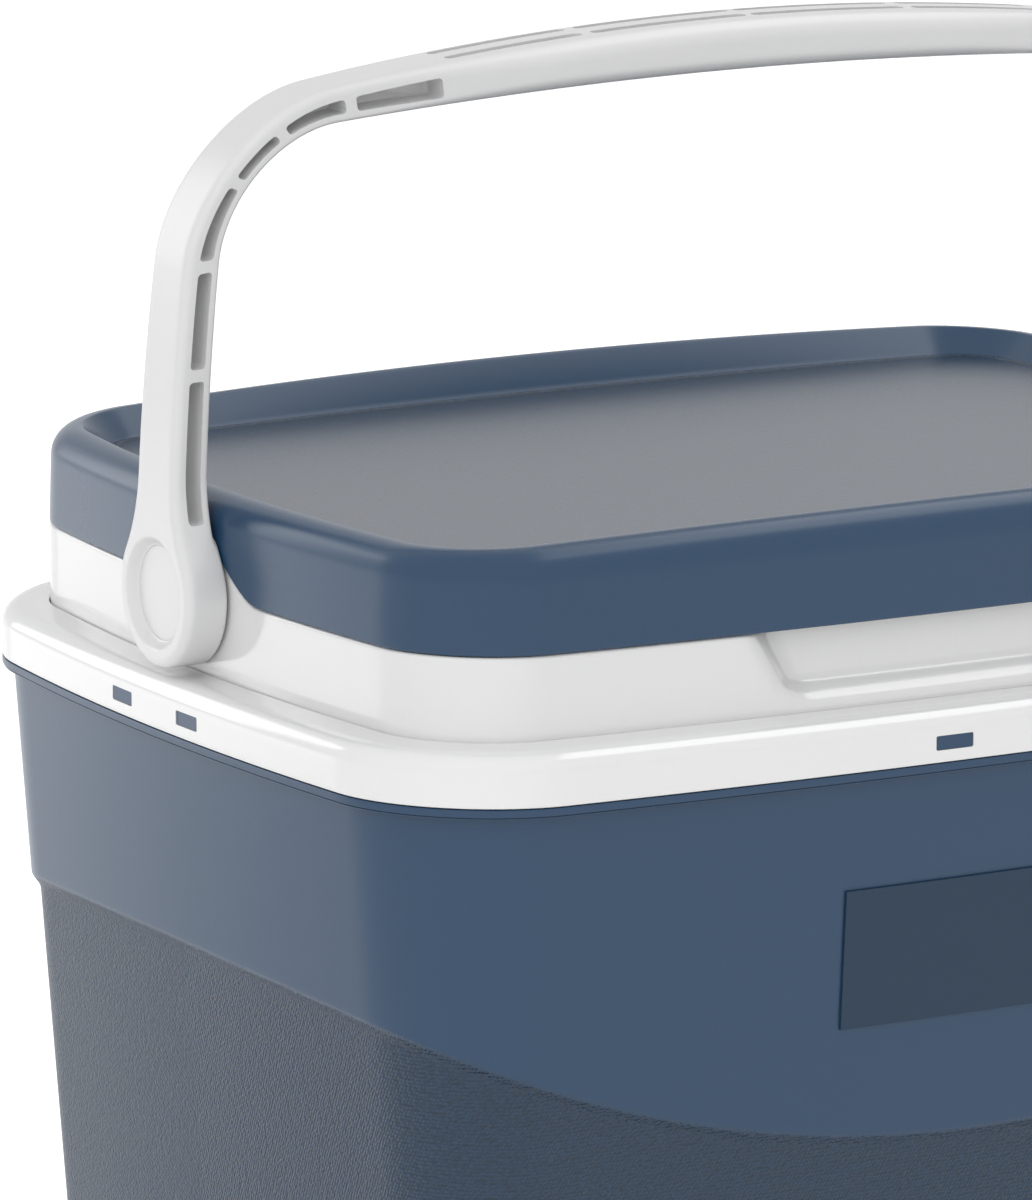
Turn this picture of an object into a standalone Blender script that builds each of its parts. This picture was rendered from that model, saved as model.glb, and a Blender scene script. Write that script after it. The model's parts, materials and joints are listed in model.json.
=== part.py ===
"""A hard-sided cooler chest: insulated tub, clip-on collar, lift-off lid and a folding bail handle.

Metres, +Z up. The origin lies on the floor under the middle of the chest. X runs along its length,
-Y is the front, and every level named *_RISE is measured up from the collar's lower edge.
"""
import math

import bmesh
import bpy
from mathutils import Vector

# Plan outline, shared by every ring of the chest: a rounded rectangle whose four sides bow outwards
COLLAR_LENGTH = 0.436
COLLAR_DEPTH = 0.338
CORNER_RADIUS = 0.0475
END_BOW = 0.0114
SIDE_BOW = 0.0100
LEAST_RADIUS = 0.012
FILLET_MIDDLE = 1 - math.sqrt(0.5)
FILLET_TURNS = (0, 30, 60)
SHARP_ANGLE = math.radians(35)
WELD = 0.00001
END_STEPS = 3
CORNER_STEPS = 4
SIDE_STEPS = 4

# Clearances
FIT = 0.0003
SNAP_CLEARANCE = 0.0004
PIVOT_CLEARANCE = 0.0003

# Outer shell
BODY_HEIGHT = 0.290
SHELL_WALL = 0.0022
WALL_DRAFT = 0.068
LIP_HEIGHT = 0.0035
LIP_OVERHANG = 0.0037
SPIGOT_HEIGHT = 0.0110
BAND_LOW = 0.1225
BAND_RADIUS = 0.427
BAND_STEP = 0.0025
BAND_FADE = 0.006
BASE_ROUND = 0.010
BASE_FOOT_BAND = 0.020
BASE_PANEL_RISE = 0.004
BASE_PANEL_SLOPE = 0.004
PLATE_WIDTH = 0.116
PLATE_HEIGHT = 0.0454
PLATE_TOP_DROP = 0.0393
PLATE_DEPTH = 0.0012
PLATE_STEPS = 5

# Collar ring and its snap windows
FLANGE_WALL = 0.0025
FLANGE_FACE = 0.0125
FLANGE_ROUND = 0.0042
SHELF_SLOPE = 0.0010
SHELF_WALL = 0.0030
WINDOW_WIDTH = 0.0138
WINDOW_HEIGHT = 0.0047
WINDOW_RISE = 0.0040
WINDOW_PITCH = 0.044
TAB_SHY = 0.0007

# Inner tub with its rim, and the neck ring with its clamped flange
LINER_WALL = 0.0020
NECK_INSET = 0.0155
RIM_SETBACK = 0.0012
RIM_WIDTH = 0.0090
NECK_RISE = 0.0441
RIM_HEIGHT = 0.0139
RIM_EDGE = 0.0010
FOAM_FLOOR = 0.0235
TUB_ROUND = 0.014

# Finger recesses in the neck, under the lid's edge
RECESS_TOP_WIDTH = 0.175
RECESS_FOOT_WIDTH = 0.150
RECESS_BACK_SHRINK = 0.019
RECESS_DEPTH = 0.0070
RECESS_FOOT_RISE = 0.0215
RECESS_FLOOR_SLOPE = 0.005

# Ears that carry the bail, and the matching notches in the lid
PIVOT_RISE = 0.0437
EAR_HALF_WIDTH = 0.040
EAR_HEIGHT = 0.0190
EAR_SETBACK = 0.0012
NOTCH_CLEARANCE = 0.0008
EAR_STEPS = 16
BOSS_RADIUS = 0.009

# Lid
LID_INSET = 0.0148
LID_CORNER_EASE = 0.0025
LID_WALL = 0.0022
LID_DRAFT = 0.0009
LID_SIDE_HEIGHT = 0.0229
LID_ROUND = 0.0085
LID_CREST = 0.0015
LID_CROWN = 0.0037
LID_EDGE_ROUND = 0.0006
TRAY_DEPTH = 0.0078
TRAY_SLOPE = 0.0044
PAN_WALL = 0.0020
PAN_PLUG_CLEARANCE = 0.0030
PAN_DEPTH = 0.0145
PAN_DRAFT = 0.0015
PAN_ROUND = 0.0025
GASKET_HEIGHT = 0.0019
GASKET_WIDTH = 0.0050

# Bail handle
BAIL_GAP = 0.0020
ARM_THICKNESS = 0.0126
GRIP_THICKNESS = 0.0157
ARM_LEAN = 0.0024
GRIP_CROWN = 0.0102
BEND_THICKENING = 0.0088
ARM_HALF_WIDTH = 0.0124
GRIP_HALF_WIDTH = 0.0155
GRIP_SWELL_START = 0.150
GRIP_SWELL_END = 0.070
FLARE = 0.0070
FLARE_LENGTH = 0.040
OUTER_EDGE = 0.0022
INNER_EDGE = 0.0014
GRIP_UNDER_EDGE = 0.0045
ARM_POINTS = 9
BEND_POINTS = 8
GRIP_POINTS = 8
POCKET_LENGTHS = (0.0456, 0.0307, 0.0258, 0.0188, 0.0230, 0.0312)
POCKET_START = 0.0239
POCKET_RIB = 0.0040
POCKET_OUTER_FLANGE = 0.0031
POCKET_INNER_FLANGE = 0.0022
POCKET_DEPTH = 0.0100
POCKET_POINTS = 5
SLOT_SPANS = ((0.0012, 0.0594), (0.0632, 0.1137))
SLOT_WIDTH = 0.0028
SLOT_ROW_SPACING = 0.0160
SLOT_DEPTH = 0.0060

# Hubs, pivot pins, washers and caps
HUB_RADIUS = 0.024
HUB_PROUD = 0.0004
HUB_EDGE = 0.0025
HUB_GAP = 0.0008
DISH_RADIUS = 0.0185
DISH_FLOOR_RADIUS = 0.0145
DISH_DEPTH = 0.0026
CAP_THICKNESS = 0.0012
PIN_RADIUS = 0.005
PIN_HEAD_RADIUS = 0.0077
PIN_HEAD_LENGTH = 0.0034
WASHER_RADIUS = 0.0107
WASHER_THICKNESS = 0.0018
ROUND_STEPS = 24

# Plugs in the foam filling holes
BASE_PLUG_RADIUS = 0.0117
BASE_PLUG_HEAD = 0.015
LID_PLUG_RADIUS = 0.0080
LID_PLUG_HEAD = 0.011
PLUG_HEAD_THICKNESS = 0.0014

# Derived levels and places
RIM_INSET = NECK_INSET + RECESS_DEPTH + LINER_WALL + RIM_SETBACK
MOUTH_INSET = RIM_INSET + RIM_WIDTH
NECK_TOP = BODY_HEIGHT + NECK_RISE
RIM_TOP = NECK_TOP + RIM_HEIGHT
PIVOT_Z = BODY_HEIGHT + PIVOT_RISE
LIP_FOOT = BODY_HEIGHT - LIP_HEIGHT
SPIGOT_TOP = BODY_HEIGHT + SPIGOT_HEIGHT
CLAMP_BOTTOM = SPIGOT_TOP + FIT
CLAMP_TOP = CLAMP_BOTTOM + LINER_WALL
SHELF_BOTTOM = CLAMP_TOP + FIT
SPIGOT_INSET = FLANGE_WALL + FIT
SHELL_FLOOR = BASE_PANEL_RISE + SHELL_WALL
FOAM_BOTTOM = SHELL_FLOOR + FIT
LINER_BOTTOM = FOAM_BOTTOM + FOAM_FLOOR + FIT
TUB_FLOOR = LINER_BOTTOM + LINER_WALL
LID_BOTTOM = NECK_TOP + FIT
LID_SHOULDER = LID_BOTTOM + LID_SIDE_HEIGHT
LID_TOP = LID_SHOULDER + LID_ROUND
TRAY_Z = LID_TOP - TRAY_DEPTH
GASKET_BOTTOM = RIM_TOP + FIT
PAN_FLANGE = GASKET_BOTTOM + GASKET_HEIGHT + FIT
PAN_BOTTOM = PAN_FLANGE - PAN_DEPTH
NECK_END = COLLAR_LENGTH / 2 - NECK_INSET
RIM_END = COLLAR_LENGTH / 2 - RIM_INSET
EAR_FACE = NECK_END - EAR_SETBACK
EAR_BACK = RIM_END + EAR_SETBACK
BOSS_END = EAR_BACK - FIT
HUB_INNER = NECK_END + HUB_GAP
BAIL_INSET = LID_INSET - BAIL_GAP
BAIL_HALF_X = COLLAR_LENGTH / 2 - BAIL_INSET
BAIL_HALF_RISE = COLLAR_DEPTH / 2 - BAIL_INSET
HUB_OUTER = BAIL_HALF_X + ARM_THICKNESS + HUB_PROUD
DISH_FLOOR = HUB_OUTER - DISH_DEPTH
CAP_SEAT = DISH_FLOOR - CAP_THICKNESS - FIT
PIN_HEAD_SEAT = CAP_SEAT - FIT - PIN_HEAD_LENGTH - FIT
WASHER_INNER = NECK_END + FIT
WASHER_SEAT = WASHER_INNER + WASHER_THICKNESS + FIT
PIN_END = BOSS_END + FIT

# Finishes: colour and roughness
FINISHES = {
    "shell_blue": ((0.045, 0.090, 0.155, 1.0), 0.35),
    "plastic_white": ((0.86, 0.86, 0.85, 1.0), 0.3),
    "foam_cream": ((0.83, 0.78, 0.62, 1.0), 0.9),
    "gasket_grey": ((0.35, 0.36, 0.37, 1.0), 0.7),
    "pin_grey": ((0.62, 0.63, 0.64, 1.0), 0.4),
}


def material(name):
    """One moulded finish as a Principled surface."""
    colour, roughness = FINISHES[name]
    finish = bpy.data.materials.get(name) or bpy.data.materials.new(name)
    finish.use_nodes = True
    surface = finish.node_tree.nodes["Principled BSDF"]
    surface.inputs["Base Color"].default_value = colour
    surface.inputs["Roughness"].default_value = roughness
    surface.inputs["Metallic"].default_value = 0.0
    return finish


def add_object(name, bm, collection, finish=None):
    """Wrap a finished bmesh as an object whose faces point outwards."""
    bm.normal_update()
    bmesh.ops.recalc_face_normals(bm, faces=bm.faces)
    mesh = bpy.data.meshes.new(name)
    bm.to_mesh(mesh)
    bm.free()
    mesh.shade_smooth()
    mesh.set_sharp_from_angle(angle=SHARP_ANGLE)
    obj = bpy.data.objects.new(name, mesh)
    collection.objects.link(obj)
    if finish:
        mesh.materials.append(finish)
    return obj


def add_tool(name, bm):
    """A cutter or a shape that is joined to a part."""
    tool = add_object(name, bm, cutters)
    tool.hide_render = True
    tool.display_type = 'WIRE'
    return tool


def combine(target, tool, operation):
    """Join a tool to a part, or cut it away."""
    modifier = target.modifiers.new(tool.name, 'BOOLEAN')
    modifier.object = tool
    modifier.operation = operation
    modifier.solver = 'EXACT'


def quarter(half_x, half_y, end_bow, side_bow, radius, steps):
    """One quarter of a bowed rounded rectangle, from (half_x, 0) round to (0, half_y).

    A plain rounded rectangle is drawn first; each side is then pushed out by its bow, most in the
    middle and not at all at the corners.
    """
    a = half_x - end_bow
    b = half_y - side_bow
    end_steps, corner_steps, side_steps = steps
    plain = [(a, (b - radius) * i / end_steps) for i in range(end_steps)]
    for i in range(corner_steps):
        turn = math.pi / 2 * i / corner_steps
        plain.append((a - radius + radius * math.cos(turn), b - radius + radius * math.sin(turn)))
    plain += [((a - radius) * (1 - i / side_steps), b) for i in range(side_steps + 1)]
    return [(x * (1 + end_bow / a * (1 - (y / b) ** 2)),
             y * (1 + side_bow / b * (1 - (x / a) ** 2))) for x, y in plain]


def outline(inset, ease=0.0):
    """The chest's plan outline, moved in by inset from the collar's face; ease rounds its corners more."""
    radius = max(CORNER_RADIUS - inset + ease, LEAST_RADIUS)
    first = quarter(COLLAR_LENGTH / 2 - inset, COLLAR_DEPTH / 2 - inset, END_BOW, SIDE_BOW, radius,
                    (END_STEPS, CORNER_STEPS, SIDE_STEPS))
    back = first + [(-x, y) for x, y in first[-2::-1]]
    return back + [(x, -y) for x, y in back[-2:0:-1]]


def level_ring(inset, z):
    """A ring of the outline at one level."""
    return [Vector((x, y, z)) for x, y in outline(inset)]


def wall_inset(z):
    """How far the drafted shell wall stands inside the collar's face at height z."""
    return LIP_OVERHANG + WALL_DRAFT * (LIP_FOOT - z)


def band_edge(x):
    """Height of the curved border between the smooth band and the grained wall below it."""
    return BODY_HEIGHT - BAND_LOW + BAND_RADIUS - math.sqrt(BAND_RADIUS ** 2 - x ** 2)


def band_ring(drop, extra):
    """A ring on the shell wall that follows the curved border, drop below it, extra further in."""
    start = outline(wall_inset(BODY_HEIGHT - BAND_LOW) + extra)
    ring = []
    for index, (x, _) in enumerate(start):
        z = band_edge(x) - drop
        px, py = outline(wall_inset(z) + extra)[index]
        ring.append(Vector((px, py, z)))
    return ring


def tub_inset(z):
    """How far the tub's inner face stands inside the collar's face at height z."""
    return MOUTH_INSET + WALL_DRAFT * (RIM_TOP - z)


def loft(rings, closed=False):
    """Skin a row of rings; the ends are capped, or joined to each other for a closed hoop."""
    bm = bmesh.new()
    rows = [[bm.verts.new(point) for point in ring] for ring in rings]
    pairs = list(zip(rows, rows[1:]))
    if closed:
        pairs.append((rows[-1], rows[0]))
    else:
        bm.faces.new(rows[0])
        bm.faces.new(rows[-1])
    for low, high in pairs:
        for i in range(len(low)):
            bm.faces.new((low[i - 1], low[i], high[i], high[i - 1]))
    return bm


def wall_loft(rings, closed=False):
    """A loft whose faces are split from their lower left to their upper right corner.

    The facets of two nested walls then stay parallel, also where a wall is slightly twisted.
    """
    bm = loft(rings, closed)
    for face in [face for face in bm.faces if len(face.verts) == 4]:
        a, b, c, d = face.verts
        climbs = a.co.z + b.co.z <= c.co.z + d.co.z
        bmesh.utils.face_split(face, *((a, c) if climbs else (b, d)))
    return bm


def box(bm, low, high):
    """Add a box between two corners to a bmesh."""
    made = bmesh.ops.create_cube(bm, size=1.0)["verts"]
    size = Vector(high) - Vector(low)
    middle = (Vector(high) + Vector(low)) / 2
    bmesh.ops.scale(bm, vec=size, verts=made)
    bmesh.ops.translate(bm, vec=middle, verts=made)


def rod_x(x0, x1, radius, z, steps=ROUND_STEPS):
    """A plain cylinder along X."""
    bm = bmesh.new()
    made = bmesh.ops.create_cone(bm, cap_ends=True, segments=steps, radius1=radius, radius2=radius,
                                 depth=abs(x1 - x0))["verts"]
    bmesh.ops.rotate(bm, cent=(0, 0, 0), verts=made,
                     matrix=Vector((0, 0, 1)).rotation_difference(Vector((1, 0, 0))).to_matrix())
    bmesh.ops.translate(bm, vec=((x0 + x1) / 2, 0, z), verts=made)
    return bm


def turned(name, profile, ring=False):
    """A turned piece about Z: the profile runs down its outer side and a Screw carries it round."""
    mesh = bpy.data.meshes.new(name)
    points = [(radius, 0.0, height) for radius, height in profile]
    edges = [(i, i + 1) for i in range(len(points) - 1)]
    if ring:
        edges.append((len(points) - 1, 0))
    mesh.from_pydata(points, edges, [])
    obj = bpy.data.objects.new(name, mesh)
    parts.objects.link(obj)
    screw = obj.modifiers.new("turn", 'SCREW')
    screw.axis = 'Z'
    screw.steps = ROUND_STEPS
    screw.render_steps = ROUND_STEPS
    screw.use_merge_vertices = True
    screw.merge_threshold = WELD
    screw.use_smooth_shade = True
    return obj


def snap_boxes(width, height, rise, outer, inner):
    """The row of snaps round the collar: a pair on each side, WINDOW_PITCH apart."""
    bm = bmesh.new()
    low = BODY_HEIGHT + rise
    for side in (-1, 1):
        for place in (-WINDOW_PITCH / 2, WINDOW_PITCH / 2):
            ends = sorted((side * (COLLAR_LENGTH / 2 - outer), side * (COLLAR_LENGTH / 2 - inner)))
            box(bm, (ends[0], place - width / 2, low), (ends[1], place + width / 2, low + height))
            ends = sorted((side * (COLLAR_DEPTH / 2 - outer), side * (COLLAR_DEPTH / 2 - inner)))
            box(bm, (place - width / 2, ends[0], low), (place + width / 2, ends[1], low + height))
    return bm


def plate_cutter():
    """A slab that follows the front wall, for the shallow name-plate recess."""
    bm = bmesh.new()
    bmesh.ops.create_cube(bm, size=1.0)
    lengthwise = [edge for edge in bm.edges if abs(edge.verts[0].co.x - edge.verts[1].co.x) > 0.5]
    bmesh.ops.subdivide_edges(bm, edges=lengthwise, cuts=PLATE_STEPS, use_grid_fill=True)
    top = BODY_HEIGHT - PLATE_TOP_DROP
    for vert in bm.verts:
        x = vert.co.x * PLATE_WIDTH
        z = top - PLATE_HEIGHT / 2 + vert.co.z * PLATE_HEIGHT
        half_x = COLLAR_LENGTH / 2 - wall_inset(z) - END_BOW
        face = COLLAR_DEPTH / 2 - wall_inset(z) - SIDE_BOW * (x / half_x) ** 2
        depth = PLATE_DEPTH if vert.co.y > 0 else -BAND_STEP
        vert.co = (x, depth - face, z)
    return bm


def build_shell():
    """Blue outer shell: base, grained wall, smooth band, rim lip and the spigot under the collar."""
    grain_foot = wall_inset(BASE_ROUND) + BAND_STEP
    band_foot = BASE_FOOT_BAND + BASE_ROUND + grain_foot
    rings = [level_ring(band_foot + BASE_PANEL_SLOPE, BASE_PANEL_RISE), level_ring(band_foot, 0.0)]
    for turn in FILLET_TURNS:
        angle = math.radians(turn)
        rings.append(level_ring(grain_foot + BASE_ROUND * (1 - math.sin(angle)),
                                BASE_ROUND * (1 - math.cos(angle))))
    rings += [level_ring(grain_foot, BASE_ROUND),
              band_ring(BAND_FADE, BAND_STEP),
              band_ring(0.0, 0.0),
              level_ring(LIP_OVERHANG, LIP_FOOT),
              level_ring(0.0, LIP_FOOT),
              level_ring(0.0, BODY_HEIGHT - FIT),
              level_ring(SPIGOT_INSET, BODY_HEIGHT - FIT),
              level_ring(SPIGOT_INSET, SPIGOT_TOP),
              level_ring(SPIGOT_INSET + SHELL_WALL, SPIGOT_TOP),
              level_ring(LIP_OVERHANG + SHELL_WALL, LIP_FOOT),
              band_ring(0.0, SHELL_WALL),
              band_ring(BAND_FADE, BAND_STEP + SHELL_WALL),
              level_ring(grain_foot + SHELL_WALL, BASE_ROUND + SHELL_WALL),
              level_ring(grain_foot + BASE_ROUND, SHELL_FLOOR)]
    shell = add_object("outer_shell", wall_loft(rings), parts, material("shell_blue"))
    tab = snap_boxes(WINDOW_WIDTH - 2 * SNAP_CLEARANCE, WINDOW_HEIGHT - 2 * SNAP_CLEARANCE,
                     WINDOW_RISE + SNAP_CLEARANCE, TAB_SHY, SPIGOT_INSET + SHELL_WALL / 2)
    combine(shell, add_tool("snap_tabs", tab), 'UNION')
    combine(shell, add_tool("plate_recess", plate_cutter()), 'DIFFERENCE')
    hole = bmesh.new()
    bmesh.ops.create_cone(hole, cap_ends=True, segments=ROUND_STEPS, depth=4 * SHELL_FLOOR,
                          radius1=BASE_PLUG_RADIUS + FIT, radius2=BASE_PLUG_RADIUS + FIT)
    combine(shell, add_tool("base_fill_hole", hole), 'DIFFERENCE')
    return shell


def build_foam():
    """Moulded insulation that fills the space between the shell, the neck ring and the tub."""
    grain_foot = wall_inset(BASE_ROUND) + BAND_STEP
    inside = LINER_WALL + FIT
    rings = [level_ring(grain_foot + BASE_ROUND + FIT, FOAM_BOTTOM),
             level_ring(grain_foot + SHELL_WALL + FIT, BASE_ROUND + SHELL_WALL),
             band_ring(BAND_FADE, BAND_STEP + SHELL_WALL + FIT),
             band_ring(0.0, SHELL_WALL + FIT),
             level_ring(LIP_OVERHANG + SHELL_WALL + FIT, LIP_FOOT),
             level_ring(SPIGOT_INSET + SHELL_WALL + FIT, CLAMP_BOTTOM - FIT),
             level_ring(NECK_INSET + inside, CLAMP_BOTTOM - FIT),
             level_ring(NECK_INSET + inside, NECK_TOP - inside),
             level_ring(RIM_INSET + inside, NECK_TOP - inside),
             level_ring(RIM_INSET + inside, RIM_TOP - inside),
             level_ring(MOUTH_INSET - inside, RIM_TOP - inside),
             level_ring(tub_inset(TUB_FLOOR + TUB_ROUND) - inside, TUB_FLOOR + TUB_ROUND),
             level_ring(tub_inset(TUB_FLOOR) + TUB_ROUND, LINER_BOTTOM - FIT)]
    foam = add_object("foam_core", wall_loft(rings), parts, material("foam_cream"))
    for side in (-1, 1):
        room = rod_x(side * NECK_END, side * (BOSS_END - FIT), BOSS_RADIUS + FIT, PIVOT_Z)
        combine(foam, add_tool("boss_room_%s" % SIDE_NAME[side], room), 'DIFFERENCE')
        room = recess_wedge(side, LINER_WALL + FIT)
        combine(foam, add_tool("recess_room_%s" % FACE_NAME[side], room), 'DIFFERENCE')
    return foam


def recess_wedge(side, grow):
    """The finger recess as a tapered wedge on the front or back of the neck, grown by grow.

    The plain wedge is open at the top; a grown one ends inside the neck's top plate.
    """
    face = COLLAR_DEPTH / 2 - NECK_INSET
    top = NECK_TOP + (-LINER_WALL / 2 if grow else FIT)
    foot = BODY_HEIGHT + RECESS_FOOT_RISE - grow
    bm = bmesh.new()
    bmesh.ops.create_cube(bm, size=1.0)
    for vert in bm.verts:
        at_back = vert.co.y > 0
        at_top = vert.co.z > 0
        width = RECESS_TOP_WIDTH if at_top else RECESS_FOOT_WIDTH
        width += 2 * grow - (RECESS_BACK_SHRINK if at_back else 0.0)
        z = top if at_top else foot + (RECESS_FLOOR_SLOPE if at_back else 0.0)
        reach = face - RECESS_DEPTH - grow if at_back else face + (-LINER_WALL / 2 if grow else LINER_WALL)
        vert.co = (vert.co.x * width, side * reach, z)
    bmesh.ops.triangulate(bm, faces=bm.faces)
    return bm


def ear_shape(grow):
    """Bell-shaped ear in the YZ plane: a raised cosine on the neck's top, grown by grow."""
    half = EAR_HALF_WIDTH + 2 * grow
    points = []
    for i in range(EAR_STEPS + 1):
        y = half * (2 * i / EAR_STEPS - 1)
        bell = (1 + math.cos(math.pi * y / half)) / 2
        points.append((y, NECK_TOP - FIT + grow + EAR_HEIGHT * bell))
    return points


def ear_block(x0, x1, grow, foot):
    """The ear's outline as a block along X, standing on the level foot."""
    upper = ear_shape(grow)
    shape = [(upper[0][0], foot)] + upper + [(upper[-1][0], foot)]
    return loft([[Vector((x, y, z)) for y, z in shape] for x in (x0, x1)])


def build_tub():
    """White inner tub: drafted walls, rounded floor, and a rolled rim that stands on the neck's top plate."""
    wall = LINER_WALL
    corner = TUB_ROUND * FILLET_MIDDLE
    rings = [level_ring(tub_inset(TUB_FLOOR) + TUB_ROUND, TUB_FLOOR),
             level_ring(tub_inset(TUB_FLOOR) + corner, TUB_FLOOR + corner),
             level_ring(tub_inset(TUB_FLOOR + TUB_ROUND), TUB_FLOOR + TUB_ROUND),
             level_ring(MOUTH_INSET, RIM_TOP - RIM_EDGE),
             level_ring(MOUTH_INSET - RIM_EDGE, RIM_TOP),
             level_ring(RIM_INSET + RIM_EDGE, RIM_TOP),
             level_ring(RIM_INSET, RIM_TOP - RIM_EDGE),
             level_ring(RIM_INSET, NECK_TOP - wall),
             level_ring(RIM_INSET + wall, NECK_TOP - wall),
             level_ring(RIM_INSET + wall, RIM_TOP - wall),
             level_ring(MOUTH_INSET - wall, RIM_TOP - wall),
             level_ring(tub_inset(TUB_FLOOR + TUB_ROUND) - wall, TUB_FLOOR + TUB_ROUND),
             level_ring(tub_inset(TUB_FLOOR) + TUB_ROUND, LINER_BOTTOM)]
    return add_object("inner_tub", wall_loft(rings), parts, material("plastic_white"))


def build_neck():
    """White neck ring: upright wall with finger recesses, top plate with ears, and the clamped flange."""
    wall = LINER_WALL
    plate_edge = RIM_INSET - FIT
    rings = [level_ring(NECK_INSET, NECK_TOP),
             level_ring(NECK_INSET, CLAMP_TOP),
             level_ring(SPIGOT_INSET, CLAMP_TOP),
             level_ring(SPIGOT_INSET, CLAMP_BOTTOM),
             level_ring(NECK_INSET + wall, CLAMP_BOTTOM),
             level_ring(NECK_INSET + wall, NECK_TOP - wall),
             level_ring(plate_edge, NECK_TOP - wall),
             level_ring(plate_edge, NECK_TOP)]
    neck = add_object("neck_ring", wall_loft(rings, closed=True), parts, material("plastic_white"))
    for side in (-1, 1):
        name = SIDE_NAME[side]
        ear = ear_block(side * EAR_FACE, side * EAR_BACK, 0.0, NECK_TOP - wall / 2)
        combine(neck, add_tool("ear_%s" % name, ear), 'UNION')
        boss = rod_x(side * (EAR_FACE - FIT), side * BOSS_END, BOSS_RADIUS, PIVOT_Z)
        combine(neck, add_tool("pivot_boss_%s" % name, boss), 'UNION')
        pocket = add_tool("recess_wall_%s" % FACE_NAME[side], recess_wedge(side, wall))
        combine(neck, pocket, 'UNION')
    for side in (-1, 1):
        bore = rod_x(side * (NECK_END + FLANGE_WALL), side * (BOSS_END - FLANGE_WALL),
                     PIN_RADIUS + PIVOT_CLEARANCE, PIVOT_Z)
        combine(neck, add_tool("pivot_bore_%s" % SIDE_NAME[side], bore), 'DIFFERENCE')
        hollow = add_tool("finger_recess_%s" % FACE_NAME[side], recess_wedge(side, 0.0))
        combine(neck, hollow, 'DIFFERENCE')
    return neck


def build_collar():
    """White clip-on ring: upright flange with windows, and the shelf that clamps the neck ring."""
    shelf_edge = NECK_INSET - FIT
    shelf_top = SHELF_BOTTOM + SHELF_WALL
    half_round = FLANGE_ROUND * FILLET_MIDDLE
    rings = [level_ring(0.0, BODY_HEIGHT),
             level_ring(0.0, BODY_HEIGHT + FLANGE_FACE),
             level_ring(half_round, shelf_top - half_round),
             level_ring(FLANGE_ROUND, shelf_top),
             level_ring(shelf_edge, shelf_top + SHELF_SLOPE),
             level_ring(shelf_edge, SHELF_BOTTOM),
             level_ring(FLANGE_WALL, SHELF_BOTTOM),
             level_ring(FLANGE_WALL, BODY_HEIGHT)]
    collar = add_object("collar_ring", wall_loft(rings, closed=True), parts,
                        material("plastic_white"))
    windows = snap_boxes(WINDOW_WIDTH, WINDOW_HEIGHT, WINDOW_RISE, -FLANGE_WALL, SPIGOT_INSET + SHELL_WALL)
    combine(collar, add_tool("snap_windows", windows), 'DIFFERENCE')
    return collar


def notch_cutter(name, side):
    """The bell-shaped notch that clears an ear, cut through a lid piece."""
    inner = EAR_BACK - NOTCH_CLEARANCE
    block = ear_block(side * inner, side * COLLAR_LENGTH / 2, NOTCH_CLEARANCE, NECK_TOP - LINER_WALL)
    return add_tool("%s_notch_%s" % (name, SIDE_NAME[side]), block)


def lid_ring(edge, z, crown=0.0):
    """A ring of the lid, edge inside its lower outer edge, rising by crown to the middle of its length."""
    points = outline(LID_INSET + edge, LID_CORNER_EASE)
    reach = max(x for x, _ in points)
    return [Vector((x, y, z + crown * (1 - (x / reach) ** 2))) for x, y in points]


def build_lid_shell():
    """Blue lid: skirt, rounded raised rim with a low crown, and the flat tray inside it."""
    wall = LID_WALL
    crest = LID_DRAFT + LID_ROUND
    tray = crest + LID_CREST + TRAY_SLOPE
    under_slope = wall * math.tan(math.atan2(TRAY_DEPTH, TRAY_SLOPE) / 2)
    inner_round = LID_ROUND - wall
    inner_rise = 1 - FILLET_MIDDLE
    rings = [lid_ring(tray - under_slope, TRAY_Z - wall),
             lid_ring(crest, LID_TOP - wall, LID_CROWN),
             lid_ring(LID_DRAFT + wall + inner_round * FILLET_MIDDLE, LID_SHOULDER + inner_round * inner_rise,
                      LID_CROWN * inner_rise),
             lid_ring(LID_DRAFT + wall, LID_SHOULDER),
             lid_ring(wall, LID_BOTTOM),
             lid_ring(LID_EDGE_ROUND, LID_BOTTOM),
             lid_ring(0.0, LID_BOTTOM + LID_EDGE_ROUND)]
    for turn in FILLET_TURNS + (90,):
        rise = math.sin(math.radians(turn))
        rings.append(lid_ring(LID_DRAFT + LID_ROUND * (1 - math.cos(math.radians(turn))),
                              LID_SHOULDER + LID_ROUND * rise, LID_CROWN * rise))
    rings += [lid_ring(crest + LID_CREST, LID_TOP, LID_CROWN),
              lid_ring(tray, TRAY_Z)]
    lid = add_object("lid_shell", wall_loft(rings), parts, material("shell_blue"))
    for side in (-1, 1):
        combine(lid, notch_cutter("shell", side), 'DIFFERENCE')
    return lid


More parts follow.
